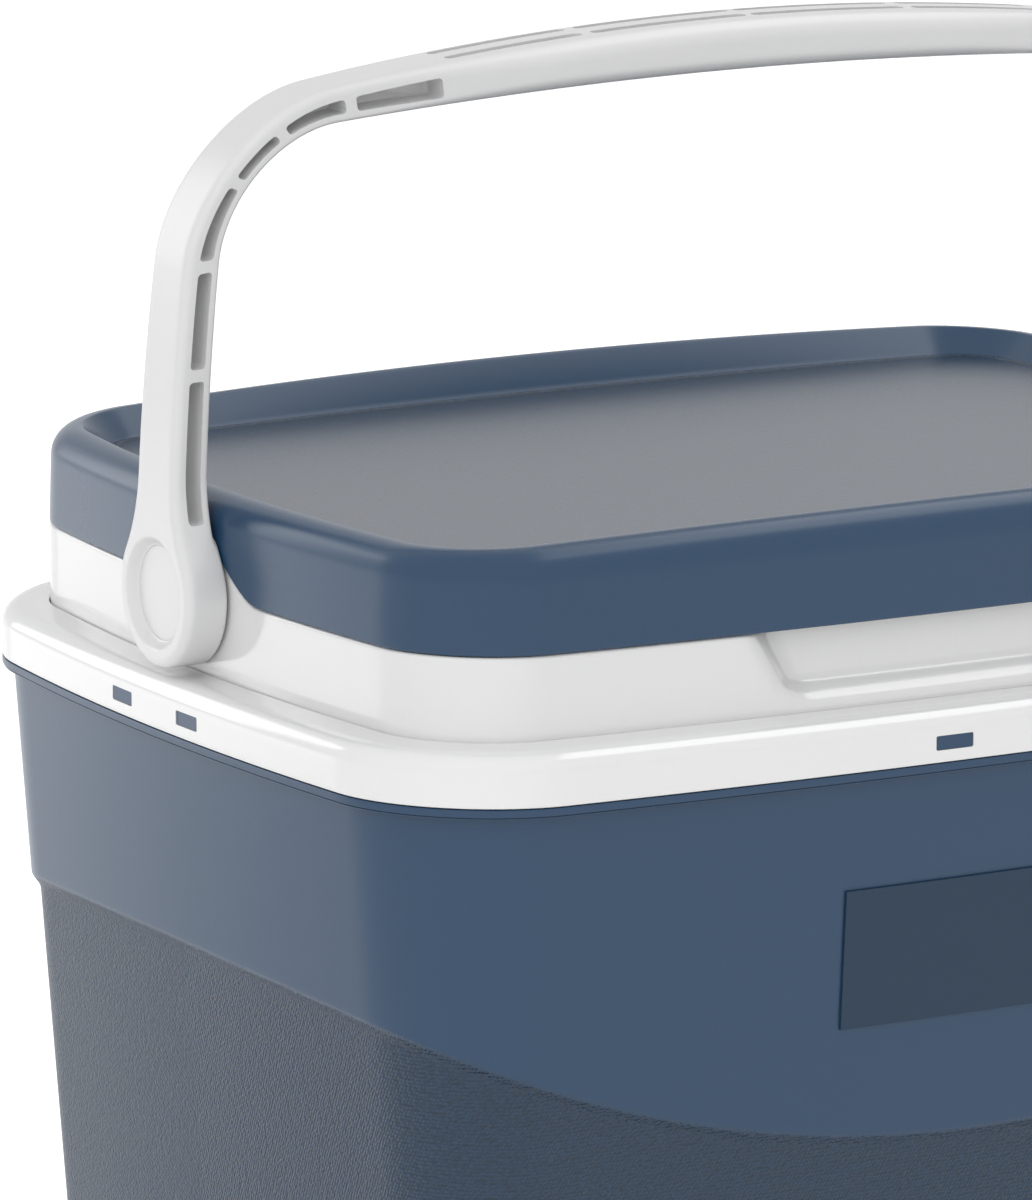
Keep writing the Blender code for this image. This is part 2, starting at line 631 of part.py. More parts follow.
def build_lid_pan():
    """White underside of the lid: a shallow pan whose plug drops into the tub's mouth."""
    wall = PAN_WALL
    plug = MOUTH_INSET + PAN_PLUG_CLEARANCE
    edge = LID_DRAFT + LID_WALL + FIT
    foot = plug + PAN_DRAFT
    rings = [level_ring(foot + PAN_ROUND, PAN_BOTTOM),
             level_ring(foot, PAN_BOTTOM + PAN_ROUND),
             level_ring(plug, PAN_FLANGE),
             lid_ring(edge, PAN_FLANGE),
             lid_ring(edge, PAN_FLANGE + wall),
             level_ring(plug + wall, PAN_FLANGE + wall),
             level_ring(foot + wall, PAN_BOTTOM + wall)]
    pan = add_object("lid_pan", wall_loft(rings), parts, material("plastic_white"))
    for side in (-1, 1):
        combine(pan, notch_cutter("pan", side), 'DIFFERENCE')
    hole = bmesh.new()
    made = bmesh.ops.create_cone(hole, cap_ends=True, segments=ROUND_STEPS, depth=4 * wall,
                                 radius1=LID_PLUG_RADIUS + FIT, radius2=LID_PLUG_RADIUS + FIT)["verts"]
    bmesh.ops.translate(hole, vec=(0, 0, PAN_BOTTOM + wall / 2), verts=made)
    combine(pan, add_tool("lid_fill_hole", hole), 'DIFFERENCE')
    return pan


def build_lid_foam():
    """Insulation between the lid's tray and its pan."""
    plug = MOUTH_INSET + PAN_PLUG_CLEARANCE + PAN_WALL + FIT
    flange = PAN_FLANGE + PAN_WALL + FIT
    edge = RIM_INSET + LINER_WALL
    rings = [level_ring(plug + PAN_DRAFT, PAN_BOTTOM + PAN_WALL + FIT),
             level_ring(plug, flange),
             level_ring(edge, flange),
             level_ring(edge, TRAY_Z - LID_WALL - FIT)]
    return add_object("lid_foam", wall_loft(rings), parts, material("foam_cream"))


def build_gasket():
    """Soft ring on the lid pan's flange that seals on the tub's rim."""
    inner = (RIM_INSET + MOUTH_INSET + GASKET_WIDTH) / 2
    outer = inner - GASKET_WIDTH
    top = GASKET_BOTTOM + GASKET_HEIGHT
    rings = [level_ring(outer, GASKET_BOTTOM), level_ring(outer, top),
             level_ring(inner, top), level_ring(inner, GASKET_BOTTOM)]
    return add_object("lid_gasket", wall_loft(rings, closed=True), parts,
                      material("gasket_grey"))


def bail_side(half_x, half_rise, end_bow, side_bow, radius):
    """One long face of the bail in its own plane, as (x, rise) from the right pivot to the left one."""
    first = quarter(half_x, half_rise, end_bow, side_bow, radius, (ARM_POINTS, BEND_POINTS, GRIP_POINTS))
    return first + [(-x, rise) for x, rise in first[-2::-1]]


def bail_faces():
    """Inner face, which clears the lid by BAIL_GAP when folded, and outer face of the bail."""
    radius = CORNER_RADIUS - BAIL_INSET + LID_CORNER_EASE
    inner = bail_side(BAIL_HALF_X, BAIL_HALF_RISE, END_BOW, SIDE_BOW, radius)
    outer = bail_side(BAIL_HALF_X + ARM_THICKNESS, BAIL_HALF_RISE + GRIP_THICKNESS, END_BOW + ARM_LEAN,
                      SIDE_BOW + GRIP_CROWN, radius + BEND_THICKENING)
    return inner, outer


def ease(value):
    """Smooth step from 0 to 1."""
    value = min(max(value, 0.0), 1.0)
    return value * value * (3 - 2 * value)


def grip_share(x, rise):
    """0 on the arms, rising to 1 along the middle of the grip."""
    if rise < BAIL_HALF_RISE / 2:
        return 0.0
    return ease((GRIP_SWELL_START - abs(x)) / (GRIP_SWELL_START - GRIP_SWELL_END))


def bail_half_width(x, rise):
    """Half the bail's width across Y: flared into the hub, swollen along the grip."""
    flare = FLARE * max(0.0, 1 - rise / FLARE_LENGTH) ** 2 if rise < FLARE_LENGTH else 0.0
    return ARM_HALF_WIDTH + flare + (GRIP_HALF_WIDTH - ARM_HALF_WIDTH) * grip_share(x, rise)


def bail_section(inner, outer):
    """Rounded bar section between a point of the inner face and one of the outer face."""
    start = Vector((inner[0], 0.0, inner[1]))
    across = Vector((outer[0], 0.0, outer[1])) - start
    depth = across.length
    across = across / depth
    half = bail_half_width(*inner)
    under = INNER_EDGE + (GRIP_UNDER_EDGE - INNER_EDGE) * grip_share(*inner)
    corners = [(under, half), (depth - OUTER_EDGE, half), (depth, half - OUTER_EDGE),
               (depth, OUTER_EDGE - half), (depth - OUTER_EDGE, -half), (under, -half),
               (0.0, under - half), (0.0, half - under)]
    return [start + across * reach + Vector((0, y, 0)) for reach, y in corners]


def point_along(points, lengths, distance):
    """Point at a given distance along a row of points."""
    for i in range(1, len(points)):
        if lengths[i] >= distance or i == len(points) - 1:
            share = (distance - lengths[i - 1]) / (lengths[i] - lengths[i - 1])
            return points[i - 1].lerp(points[i], share)


def bail_pockets():
    """Rows of lightening pockets in both edges of the arms and bends, with a rib between each."""
    inner, outer = bail_faces()
    inner = [Vector((x, 0.0, rise)) for x, rise in inner]
    outer = [Vector((x, 0.0, rise)) for x, rise in outer]
    low, high = [], []
    for near, far in zip(inner, outer):
        across = (far - near).normalized()
        low.append(near + across * POCKET_INNER_FLANGE)
        high.append(far - across * POCKET_OUTER_FLANGE)
    lengths = [0.0]
    for i in range(1, len(high)):
        lengths.append(lengths[-1] + (high[i] - high[i - 1]).length)
    bm = bmesh.new()
    for side in (-1, 1):
        for face in (-1, 1):
            distance = POCKET_START
            for length in POCKET_LENGTHS:
                rows = []
                for k in range(POCKET_POINTS):
                    along = distance + length * k / (POCKET_POINTS - 1)
                    a = point_along(low, lengths, along)
                    b = point_along(high, lengths, along)
                    half = bail_half_width(a.x, a.z)
                    floor = face * (half - POCKET_DEPTH)
                    mouth = face * (half + FLANGE_WALL)
                    section = [(a, floor), (b, floor), (b, mouth), (a, mouth)]
                    rows.append([Vector((side * p.x, y, p.z)) for p, y in section])
                pocket = loft(rows)
                piece = bpy.data.meshes.new("pocket")
                pocket.to_mesh(piece)
                pocket.free()
                bm.from_mesh(piece)
                bpy.data.meshes.remove(piece)
                distance += length + POCKET_RIB
    return bm


def bail_slots():
    """Two rows of narrow slots along the top of the grip, each laid on the crown of the grip."""
    _, outer = bail_faces()
    bm = bmesh.new()
    for row in (-1, 1):
        for side in (-1, 1):
            for span in SLOT_SPANS:
                ends = sorted(side * x for x in span)
                for vert in bmesh.ops.create_cube(bm, size=1.0)["verts"]:
                    x = ends[1] if vert.co.x > 0 else ends[0]
                    z = grip_top(outer, x) + (SLOT_DEPTH if vert.co.z > 0 else -SLOT_DEPTH)
                    vert.co = (x, row * SLOT_ROW_SPACING / 2 + vert.co.y * SLOT_WIDTH, z)
    return bm


def grip_top(outer, x):
    """Rise of the grip's outer face at x."""
    for (x0, r0), (x1, r1) in zip(outer, outer[1:]):
        if x1 <= x <= x0 and min(r0, r1) > BAIL_HALF_RISE / 2:
            return r0 + (r1 - r0) * (x - x0) / (x1 - x0)


def build_bail():
    """White one-piece bail: pocketed arms, slotted grip and a round hub at each end."""
    inner, outer = bail_faces()
    bar = loft([bail_section(near, far) for near, far in zip(inner, outer)])
    bail = add_object("bail_handle", bar, parts, material("plastic_white"))
    combine(bail, add_tool("bail_pockets", bail_pockets()), 'DIFFERENCE')
    combine(bail, add_tool("grip_slots", bail_slots()), 'DIFFERENCE')
    for side in (-1, 1):
        name = SIDE_NAME[side]
        hub = add_tool("hub_%s" % name, rod_x(side * HUB_INNER, side * HUB_OUTER, HUB_RADIUS, 0.0,
                                              2 * ROUND_STEPS))
        rounding = hub.modifiers.new("edge", 'BEVEL')
        rounding.width = HUB_EDGE
        rounding.segments = 2
        rounding.limit_method = 'ANGLE'
        combine(bail, hub, 'UNION')
    for side in (-1, 1):
        name = SIDE_NAME[side]
        cone = bmesh.new()
        made = bmesh.ops.create_cone(cone, cap_ends=True, segments=ROUND_STEPS, radius1=DISH_FLOOR_RADIUS,
                                     radius2=2 * DISH_RADIUS - DISH_FLOOR_RADIUS, depth=2 * DISH_DEPTH)
        turn = Vector((0, 0, 1)).rotation_difference(Vector((side, 0, 0))).to_matrix()
        bmesh.ops.rotate(cone, cent=(0, 0, 0), verts=made["verts"], matrix=turn)
        bmesh.ops.translate(cone, vec=(side * HUB_OUTER, 0, 0), verts=made["verts"])
        combine(bail, add_tool("hub_dish_%s" % name, cone), 'DIFFERENCE')
        cuts = (("cap_seat", CAP_SEAT, HUB_OUTER, DISH_FLOOR_RADIUS - FIT),
                ("pin_head_seat", PIN_HEAD_SEAT, HUB_OUTER, PIN_HEAD_RADIUS + PIVOT_CLEARANCE),
                ("hub_bore", HUB_INNER - DISH_DEPTH, HUB_OUTER, PIN_RADIUS + PIVOT_CLEARANCE),
                ("washer_seat", HUB_INNER - DISH_DEPTH, WASHER_SEAT, WASHER_RADIUS + PIVOT_CLEARANCE))
        for cut, x0, x1, radius in cuts:
            tool = add_tool("%s_%s" % (cut, name), rod_x(side * x0, side * x1, radius, 0.0))
            combine(bail, tool, 'DIFFERENCE')
    for tool in [modifier.object for modifier in bail.modifiers]:
        tool.parent = bail
    return bail


def build_pivots():
    """Pin, friction washer and hub cap at each end of the bail."""
    pieces = {}
    for side in (-1, 1):
        name = SIDE_NAME[side]
        shoulder = PIN_HEAD_SEAT + FIT
        pin = turned("pivot_pin_%s" % name,
                     [(0.0, shoulder + PIN_HEAD_LENGTH), (PIN_HEAD_RADIUS, shoulder + PIN_HEAD_LENGTH),
                      (PIN_HEAD_RADIUS, shoulder), (PIN_RADIUS, shoulder), (PIN_RADIUS, PIN_END),
                      (0.0, PIN_END)])
        pin.data.materials.append(material("pin_grey"))
        washer_top = WASHER_INNER + WASHER_THICKNESS
        washer = turned("pivot_washer_%s" % name,
                        [(WASHER_RADIUS, washer_top), (WASHER_RADIUS, WASHER_INNER),
                         (PIN_RADIUS + PIVOT_CLEARANCE, WASHER_INNER),
                         (PIN_RADIUS + PIVOT_CLEARANCE, washer_top)], ring=True)
        washer.data.materials.append(material("gasket_grey"))
        cap_rim = DISH_FLOOR_RADIUS - 2 * FIT
        cap = turned("hub_cap_%s" % name,
                     [(0.0, DISH_FLOOR), (cap_rim, DISH_FLOOR), (cap_rim, CAP_SEAT + FIT),
                      (0.0, CAP_SEAT + FIT)])
        cap.data.materials.append(material("plastic_white"))
        for piece in (pin, washer, cap):
            piece.rotation_euler = (0.0, side * math.pi / 2, 0.0)
        pieces[side] = (pin, washer, cap)
    return pieces


def build_plugs():
    """Plugs that close the filling holes in the base and in the lid pan."""
    plugs = []
    for name, radius, head, face, wall in (
            ("base_plug", BASE_PLUG_RADIUS, BASE_PLUG_HEAD, BASE_PANEL_RISE, SHELL_WALL),
            ("lid_plug", LID_PLUG_RADIUS, LID_PLUG_HEAD, PAN_BOTTOM, PAN_WALL)):
        seat = face - FIT
        plug = turned(name, [(0.0, face + wall), (radius, face + wall), (radius, seat), (head, seat),
                             (head, seat - PLUG_HEAD_THICKNESS), (0.0, seat - PLUG_HEAD_THICKNESS)])
        plug.data.materials.append(material("plastic_white"))
        plugs.append(plug)
    return plugs


def add_empty(name, z):
    """A plain axes empty that carries a group of pieces."""
    empty = bpy.data.objects.new(name, None)
    empty.empty_display_size = 0.02
    empty.location = (0.0, 0.0, z)
    parts.objects.link(empty)
    return empty


def move_under(piece, carrier):
    """Parent a piece that was modelled in place to a carrier, without moving it."""
    piece.parent = carrier
    piece.location.z -= carrier.location.z


for old in list(bpy.data.objects):
    bpy.data.objects.remove(old, do_unlink=True)

SIDE_NAME = {-1: "left", 1: "right"}
FACE_NAME = {-1: "front", 1: "back"}
parts = bpy.data.collections.new("cooler_chest")
cutters = bpy.data.collections.new("cutters")
for collection in (parts, cutters):
    bpy.context.scene.collection.children.link(collection)

build_shell()
build_foam()
build_tub()
build_neck()
build_collar()
base_plug, lid_plug = build_plugs()

lid_seat = add_empty("lid_seat", NECK_TOP)
for lid_piece in (build_lid_shell(), build_lid_foam(), build_lid_pan(), build_gasket(), lid_plug):
    move_under(lid_piece, lid_seat)
for tool in list(cutters.objects):
    if "notch" in tool.name or tool.name == "lid_fill_hole":
        move_under(tool, lid_seat)

bail_axis = add_empty("bail_axis", PIVOT_Z)
build_bail().parent = bail_axis
for pin, washer, cap in build_pivots().values():
    cap.parent = bail_axis
    for fixed in (pin, washer):
        fixed.location.z = PIVOT_Z

bpy.context.view_layer.update()
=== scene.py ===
# %% [markdown]
# # A cooler chest, dressed
# The solids already have every size and place. This lesson lays finer surfaces over them: a blue moulded
# shell with a grained lower wall, a white collar and neck, a lid with a tray, and a one-piece bail handle.
# Every surface is a grid worked out with numpy, so a shape can be changed by changing one number.

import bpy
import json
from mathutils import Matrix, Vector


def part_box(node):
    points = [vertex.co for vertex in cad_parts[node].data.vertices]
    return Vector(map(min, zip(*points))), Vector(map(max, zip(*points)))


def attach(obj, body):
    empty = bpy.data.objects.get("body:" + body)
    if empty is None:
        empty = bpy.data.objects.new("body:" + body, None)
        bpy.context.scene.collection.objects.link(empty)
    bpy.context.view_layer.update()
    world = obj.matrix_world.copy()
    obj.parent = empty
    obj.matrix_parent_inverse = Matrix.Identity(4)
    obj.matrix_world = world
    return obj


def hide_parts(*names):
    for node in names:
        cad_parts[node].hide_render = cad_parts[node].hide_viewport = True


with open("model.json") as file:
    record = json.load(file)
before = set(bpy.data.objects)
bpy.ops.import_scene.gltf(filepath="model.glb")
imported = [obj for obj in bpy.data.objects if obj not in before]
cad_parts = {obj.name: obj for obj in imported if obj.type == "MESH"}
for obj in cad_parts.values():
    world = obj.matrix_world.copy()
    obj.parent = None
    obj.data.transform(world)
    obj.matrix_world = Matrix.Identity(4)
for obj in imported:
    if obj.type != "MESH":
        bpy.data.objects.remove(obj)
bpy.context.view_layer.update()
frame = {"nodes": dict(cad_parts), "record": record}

# %% [markdown]
# Numpy works out the points, bpy and bmesh make meshes of them, and mathutils aims the lamps and the camera.

# %% Modules
import json
import math

import bmesh
import bpy
import numpy as np
from mathutils import Vector

print("Blender", bpy.app.version_string, "with numpy", np.__version__)

# %% [markdown]
# The big sizes come from the solids themselves, so the looks cannot drift away from them. Only what a
# bounding box cannot tell, such as how far a side bows, is written down further on. Lengths are in metres.

# %% Sizes taken from the frame
collar_low, collar_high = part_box("collar_ring")
lid_low, lid_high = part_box("lid_shell")
tub_low, tub_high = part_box("inner_tub")
HALF_LENGTH, HALF_DEPTH, SEAM = collar_high.x, collar_high.y, collar_low.z
LID_EDGE = lid_low.z
LID_INSET = HALF_DEPTH - lid_high.y
RIM_TOP = tub_high.z
TUB_UNDER = tub_low.z
joints = {joint["name"]: joint for joint in frame["record"]["behaviour"]["joints"]}
PIVOT = joints["bail_swing"]["pos_m"][2]
print("collar %.0f x %.0f mm, seam %.0f mm up, pivot %.1f mm up"
      % (HALF_LENGTH * 2000, HALF_DEPTH * 2000, SEAM * 1000, PIVOT * 1000))

# %% [markdown]
# Seen from above, every level of the chest is the same figure: a rounded rectangle whose four sides bow
# gently outwards. It could be a Bezier curve, but a formula gives the figure at any inset from the collar's
# face, and that is all the walls, rims and steps below need. Columns go round it; rows go along a profile.

# %% The plan
CORNER_RADIUS = 0.0475
END_BOW = 0.0114
SIDE_BOW = 0.0100
LEAST_RADIUS = 0.012
PLAN_COLUMNS = (36, 18, 44)


def quarter(end, corner, side, first=0.0):
    """Columns along a quarter of a rounded rectangle, as shares of its end e, corner turn t and side s.

    First e goes up to 1 along the end, then t turns 0 to 90 degrees, then s goes 1 to 0 along the side.
    """
    e = np.concatenate([np.linspace(first, 1, end, endpoint=False), np.ones(corner + side + 1)])
    turn = np.concatenate([np.zeros(end), np.linspace(0, 1, corner, endpoint=False), np.ones(side + 1)])
    s = np.concatenate([np.ones(end + corner), np.linspace(1, 0, side + 1)])
    return e, turn * math.pi / 2, s


def lap():
    """Columns once round: a quarter, and three more that repeat it with the signs of x and y changed."""
    e, t, s = quarter(*PLAN_COLUMNS)
    there = np.arange(len(e))
    back = there[::-1]
    order = np.concatenate([there, back[1:], there[1:], back[1:-1]])
    counts = [len(e), len(e) - 1, len(e) - 1, len(e) - 2]
    return e[order], t[order], s[order], np.repeat([1, -1, -1, 1], counts), np.repeat([1, 1, -1, -1], counts)


def bowed(e, t, s, half_x, half_y, end_bow, side_bow, radius):
    """One quarter of a bowed rounded rectangle.

    A plain rounded rectangle of half sizes a and b comes first. Then x grows by end_bow (1 - (y / b)²) and
    y by side_bow (1 - (x / a)²): most in the middle of each side, nothing at its corners.
    """
    a = half_x - end_bow
    b = half_y - side_bow
    x = (a - radius) * s + radius * np.cos(t)
    y = (b - radius) * e + radius * np.sin(t)
    return x * (1 + end_bow / a * (1 - (y / b) ** 2)), y * (1 + side_bow / b * (1 - (x / a) ** 2))


def outline(columns, inset, ease=0.0):
    """The chest's plan moved in by inset from the collar's face; ease rounds its corners more."""
    e, t, s, sign_x, sign_y = columns
    radius = np.maximum(CORNER_RADIUS - inset + ease, LEAST_RADIUS)
    x, y = bowed(e, t, s, HALF_LENGTH - inset, HALF_DEPTH - inset, END_BOW, SIDE_BOW, radius)
    return sign_x * x, sign_y * y


ROUND = lap()
print("plan columns", len(ROUND[0]))

# %% [markdown]
# A moulded wall is a profile carried round the plan. The profile is drawn like a turner's template: a few
# corners, each with the radius of its arc; a few small radii come again and again, so they have names here.
# Long straight runs get one more row close to each end, because smooth shading averages the normals of
# neighbouring faces and would bend light across the whole run.

# %% Profiles
ARC_STEPS = 6
SUPPORT = 0.0012
LONG_RUN = 4 * SUPPORT
KEEN, HAIR, CRISP, NEAT, EASED = 0.0001, 0.0002, 0.0003, 0.0005, 0.0010


def unit(vector):
    """The vector at length 1."""
    return vector / np.linalg.norm(vector)


def supported(rows):
    """The same profile with an extra row SUPPORT away from both ends of each long run."""
    step = np.diff(rows, axis=0)
    length = np.linalg.norm(step, axis=1, keepdims=True)
    long = length[:, 0] > LONG_RUN
    near = step * SUPPORT / np.maximum(length, SUPPORT)
    runs = np.stack([rows[:-1], rows[:-1] + near, rows[1:] - near], axis=1)
    keep = np.column_stack([np.ones_like(long), long, long])
    return np.vstack([runs[keep], rows[-1:]])


def rounded(corners, steps=ARC_STEPS):
    """A profile through corners given as (inset, z, radius), each turned on an arc.

    The arc's centre lies on the corner's bisector at radius / sin(half the angle). Its points go from one
    touching point to the other by slerp, which keeps them on the circle.
    """
    points = np.array([corner[:2] for corner in corners])
    rows = [points[:1]]
    for before, corner, after, (_, _, radius) in zip(points, points[1:], points[2:], corners[1:]):
        if not radius:
            rows.append(corner[None])
            continue
        there, onward = unit(before - corner), unit(after - corner)
        half = math.acos(there @ onward) / 2
        centre = corner + unit(there + onward) * radius / math.sin(half)
        start = corner + there * radius / math.tan(half) - centre
        stop = corner + onward * radius / math.tan(half) - centre
        sweep = math.pi - 2 * half
        share = np.linspace(0, 1, steps + 1)[:, None]
        turned = np.sin((1 - share) * sweep) * start + np.sin(share * sweep) * stop
        rows.append(centre + turned / math.sin(sweep))
    rows.append(points[-1:])
    return supported(np.vstack(rows))


print("profiles turn each corner in", ARC_STEPS, "steps")

# %% [markdown]
# The grid of points becomes a mesh here: one quad between each four neighbours. Columns always join round.
# Rows either join too, as on a hoop, or end in a pole, a single point that closes a floor. A small block is a
# grid of four rings, of which the first and the last have no size and close its ends.

# %% From grid to mesh
def grid_faces(rows, columns, loop):
    """Quads of a grid as an array: rows by columns, the columns joined round, the rows joined if loop."""
    row = np.arange(rows if loop else rows - 1)[:, None]
    column = np.arange(columns)[None, :]
    onward, upward = (column + 1) % columns, (row + 1) % rows
    return np.stack([row * columns + column, row * columns + onward,
                     upward * columns + onward, upward * columns + column], axis=-1).reshape(-1, 4)


def skin(name, x, y, z, loop=False, start=None, stop=None):
    """A mesh on the grid x, y, z; start and stop are the heights of poles on the Z axis that close its ends."""
    rows, columns = x.shape
    points = np.stack([x, y, z], axis=-1).reshape(-1, 3)
    faces = grid_faces(rows, columns, loop).tolist()
    here = np.arange(columns)
    onward = np.roll(here, -1)
    for pole, ring, turn in ((start, 0, -1), (stop, (rows - 1) * columns, 1)):
        if pole is not None:
            fan = np.stack([here + ring, onward + ring, np.full(columns, len(points))], axis=-1)
            faces += fan[:, ::turn].tolist()
            points = np.vstack([points, [0.0, 0.0, pole]])
    mesh = bpy.data.meshes.new(name)
    mesh.from_pydata(points.tolist(), [], faces)
    return mesh


def patch(x, y, z):
    """One grid of its own as points and faces; x, y and z are spread to a common shape first."""
    grid = np.stack(np.broadcast_arrays(x, y, z), axis=-1)
    return grid.reshape(-1, 3), grid_faces(*grid.shape[:2], False)


def closed(name, parts, weld=1e-7):
    """One mesh from several grids, each given as its points and its faces.

    Points closer than weld are joined, which closes seams and poles; then all faces are turned outwards.
    """
    starts = np.cumsum([0] + [len(points) for points, _ in parts])
    faces = np.vstack([quads + start for (_, quads), start in zip(parts, starts)])
    mesh = bpy.data.meshes.new(name)
    mesh.from_pydata(np.vstack([points for points, _ in parts]).tolist(), [], faces.tolist())
    bm = bmesh.new()
    bm.from_mesh(mesh)
    bmesh.ops.remove_doubles(bm, verts=bm.verts, dist=weld)
    bmesh.ops.recalc_face_normals(bm, faces=bm.faces)
    bm.to_mesh(mesh)
    bm.free()
    return mesh


BLOCK_ENDS = np.array([0, 1, 1, 0])[:, None]
print("a block's four rings have the sizes", BLOCK_ENDS.ravel().tolist())

# %% [markdown]
# A finished mesh is shown as a piece: it gets its plastic, smooth shading with sharp edges kept, and the body
# that carries it when the lid lifts or the bail swings. Holes are cut with a Boolean that is applied at once,
# so that the piece has no live modifier.

# %% Pieces and cuts
def shown(name, data):
    """A new object for a mesh, a lamp or a camera, put into the scene."""
    obj = bpy.data.objects.new(name, data)
    bpy.context.scene.collection.objects.link(obj)
    return obj


def piece(name, mesh, finish, body, stands_for=(), sharp=40):
    """Show a mesh as one piece of the object: its finish, its shading, and the body that carries it."""
    obj = shown(name, mesh)
    mesh.materials.clear()
    mesh.materials.append(finish)
    mesh.shade_smooth()
    mesh.set_sharp_from_angle(angle=math.radians(sharp))
    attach(obj, body)
    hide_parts(*stands_for)
    size = np.ptp(np.array([v.co for v in mesh.vertices]), axis=0) * 1000
    print(name, len(mesh.polygons), "faces, %.1f x %.1f x %.1f mm" % tuple(size))


def carve(mesh, cutter):
    """The mesh with the cutter's closed bodies taken out by one exact Boolean."""
    target, tool = shown(mesh.name, mesh), shown(cutter.name, cutter)
    modifier = target.modifiers.new("carve", 'BOOLEAN')
    modifier.object = tool
    modifier.solver = 'EXACT'
    depsgraph = bpy.context.evaluated_depsgraph_get()
    carved = bpy.data.meshes.new_from_object(target.evaluated_get(depsgraph))
    for obj in (target, tool):
        bpy.data.objects.remove(obj)
    return carved


# %% [markdown]
# All plastics are plain: a base colour, a sheen, and a little unevenness left by the mould. A Noise Texture
# on object coordinates gives that unevenness as a bump, so it stays with the piece when the piece moves.

# %% White plastics
SKIN_HEIGHT = 0.0002
SKIN_DETAIL = 2.0
NECK_TONE, COLLAR_TONE, BAIL_TONE = 0.71, 0.76, 0.69


def feed(tree, node, values):
    """Give inputs of a node their values: a number or colour is set, a socket of another node is linked."""
    for name, value in values.items():
        if isinstance(value, bpy.types.NodeSocket):
            tree.links.new(value, node.inputs[name])
        else:
            node.inputs[name].default_value = value


def add_node(tree, kind, values=(), **options):
    """A new node of a kind, with its options set first and its inputs fed after that."""
    node = tree.nodes.new(kind)
    for option, choice in options.items():
        setattr(node, option, choice)
    feed(tree, node, dict(values))
    return node


def principled(name, colour, roughness, shine=0.5):
    """A new material with one Principled shader, set to a plain colour, roughness and strength of shine."""
    finish = bpy.data.materials.new(name)
    finish.use_nodes = True
    shader = finish.node_tree.nodes["Principled BSDF"]
    feed(finish.node_tree, shader,
         {"Base Color": (*colour, 1.0), "Roughness": roughness, "Specular IOR Level": shine})
    return finish, finish.node_tree, shader


def mould_skin(tree, scale, strength):
    """Object coordinates, and a bump from a Noise Texture on them: scale is in cells to the metre."""
    place = add_node(tree, "ShaderNodeTexCoord").outputs["Object"]
    noise = add_node(tree, "ShaderNodeTexNoise", {"Vector": place, "Scale": scale, "Detail": SKIN_DETAIL})
    bump = add_node(tree, "ShaderNodeBump", {"Height": noise.outputs["Fac"], "Strength": strength,
                                             "Distance": SKIN_HEIGHT})
    return place, bump.outputs["Normal"]


def plain_plastic(name, colour, roughness, scale=260, strength=0.05, shine=0.5):
    """A smooth moulded plastic."""
    finish, tree, shader = principled(name, colour, roughness, shine)
    _, uneven = mould_skin(tree, scale, strength)
    feed(tree, shader, {"Normal": uneven})
    return finish


neck_white = plain_plastic("neck_white", 3 * (NECK_TONE,), 0.10, scale=90, strength=0.02, shine=0.9)
collar_white = plain_plastic("collar_white", 3 * (COLLAR_TONE,), 0.12, shine=1.0)
bail_white = plain_plastic("bail_white", 3 * (BAIL_TONE,), 0.30, shine=0.7)
print("white plastics ready")

# %% [markdown]
# The blue shell has two surfaces from one mould. Above a curved border it is smooth; below it the steel was
# etched, which leaves rows of small pebbles. A Voronoi Texture makes the pebbles, and a value stored on the
# mesh, called grain, says how much of them each point gets, so the border is exact. A second value, girth, is
# the distance round the wall: with it the rows run round the corners, as if wrapped about the chest.

# %% Blue plastics with grain
BLUE = (0.0115, 0.0475, 0.106)
BLUE_SKIN = {"scale": 420, "strength": 0.06}
PEBBLES = 800
PEBBLE_HEIGHT = 0.0007
PEBBLE_SPREAD = 0.45
PEBBLE_SOFTNESS = 0.6
ROW_LEAN = 0.5
TRAY_GRAIN = 0.00003
# Painted shade: the crevices between pebbles are darkened towards this share of the blue.
PAINTED_CREVICE_SHADE = 0.05


def wrapped(tree, place):
    """Flat coordinates on the wall: the distance round it, leaning with the height, and the height."""
    girth = add_node(tree, "ShaderNodeAttribute", attribute_name="girth").outputs["Fac"]
    height = add_node(tree, "ShaderNodeSeparateXYZ", {0: place}).outputs["Z"]
    lean = add_node(tree, "ShaderNodeMath", {0: height, 1: ROW_LEAN, 2: girth}, operation='MULTIPLY_ADD')
    return add_node(tree, "ShaderNodeCombineXYZ", {"X": lean.outputs[0], "Y": height}).outputs[0]


def grained_plastic(name, colour, roughness, grain_roughness, height, in_rows):
    """Smooth plastic where the attribute grain is 0, pebbled and duller plastic where it is 1.

    The distance from a cell's middle, turned over, is the pebble's height, and it also paints shade into the
    crevices.
    """
    finish, tree, shader = principled(name, colour, roughness)
    place, uneven = mould_skin(tree, **BLUE_SKIN)
    share = add_node(tree, "ShaderNodeAttribute", attribute_name="grain").outputs["Fac"]
    cells = add_node(tree, "ShaderNodeTexVoronoi",
                     {"Vector": wrapped(tree, place) if in_rows else place, "Scale": PEBBLES,
                      "Smoothness": PEBBLE_SOFTNESS, "Randomness": PEBBLE_SPREAD if in_rows else 1.0},
                     feature='SMOOTH_F1')
    depth = cells.outputs["Distance"]
    bump = add_node(tree, "ShaderNodeBump", {"Height": depth, "Strength": share, "Distance": height,
                                             "Normal": uneven}, invert=True)
    dull = add_node(tree, "ShaderNodeMapRange",
                    {"Value": share, "To Min": roughness, "To Max": grain_roughness})
    # Painted shade: the base colour darkens from each pebble's middle towards its crevices, where shade would
    # fall.
    low = add_node(tree, "ShaderNodeMath", {0: depth, 1: share}, operation='MULTIPLY')
    painted_shade_colour = [PAINTED_CREVICE_SHADE * value for value in colour]
    shade = add_node(tree, "ShaderNodeMix", {"Factor": low.outputs[0], 6: (*colour, 1.0), 7: (*painted_shade_colour, 1.0)},
                     data_type='RGBA')
    feed(tree, shader, {"Base Color": shade.outputs[2], "Roughness": dull.outputs["Result"],
                        "Normal": bump.outputs["Normal"]})
    return finish


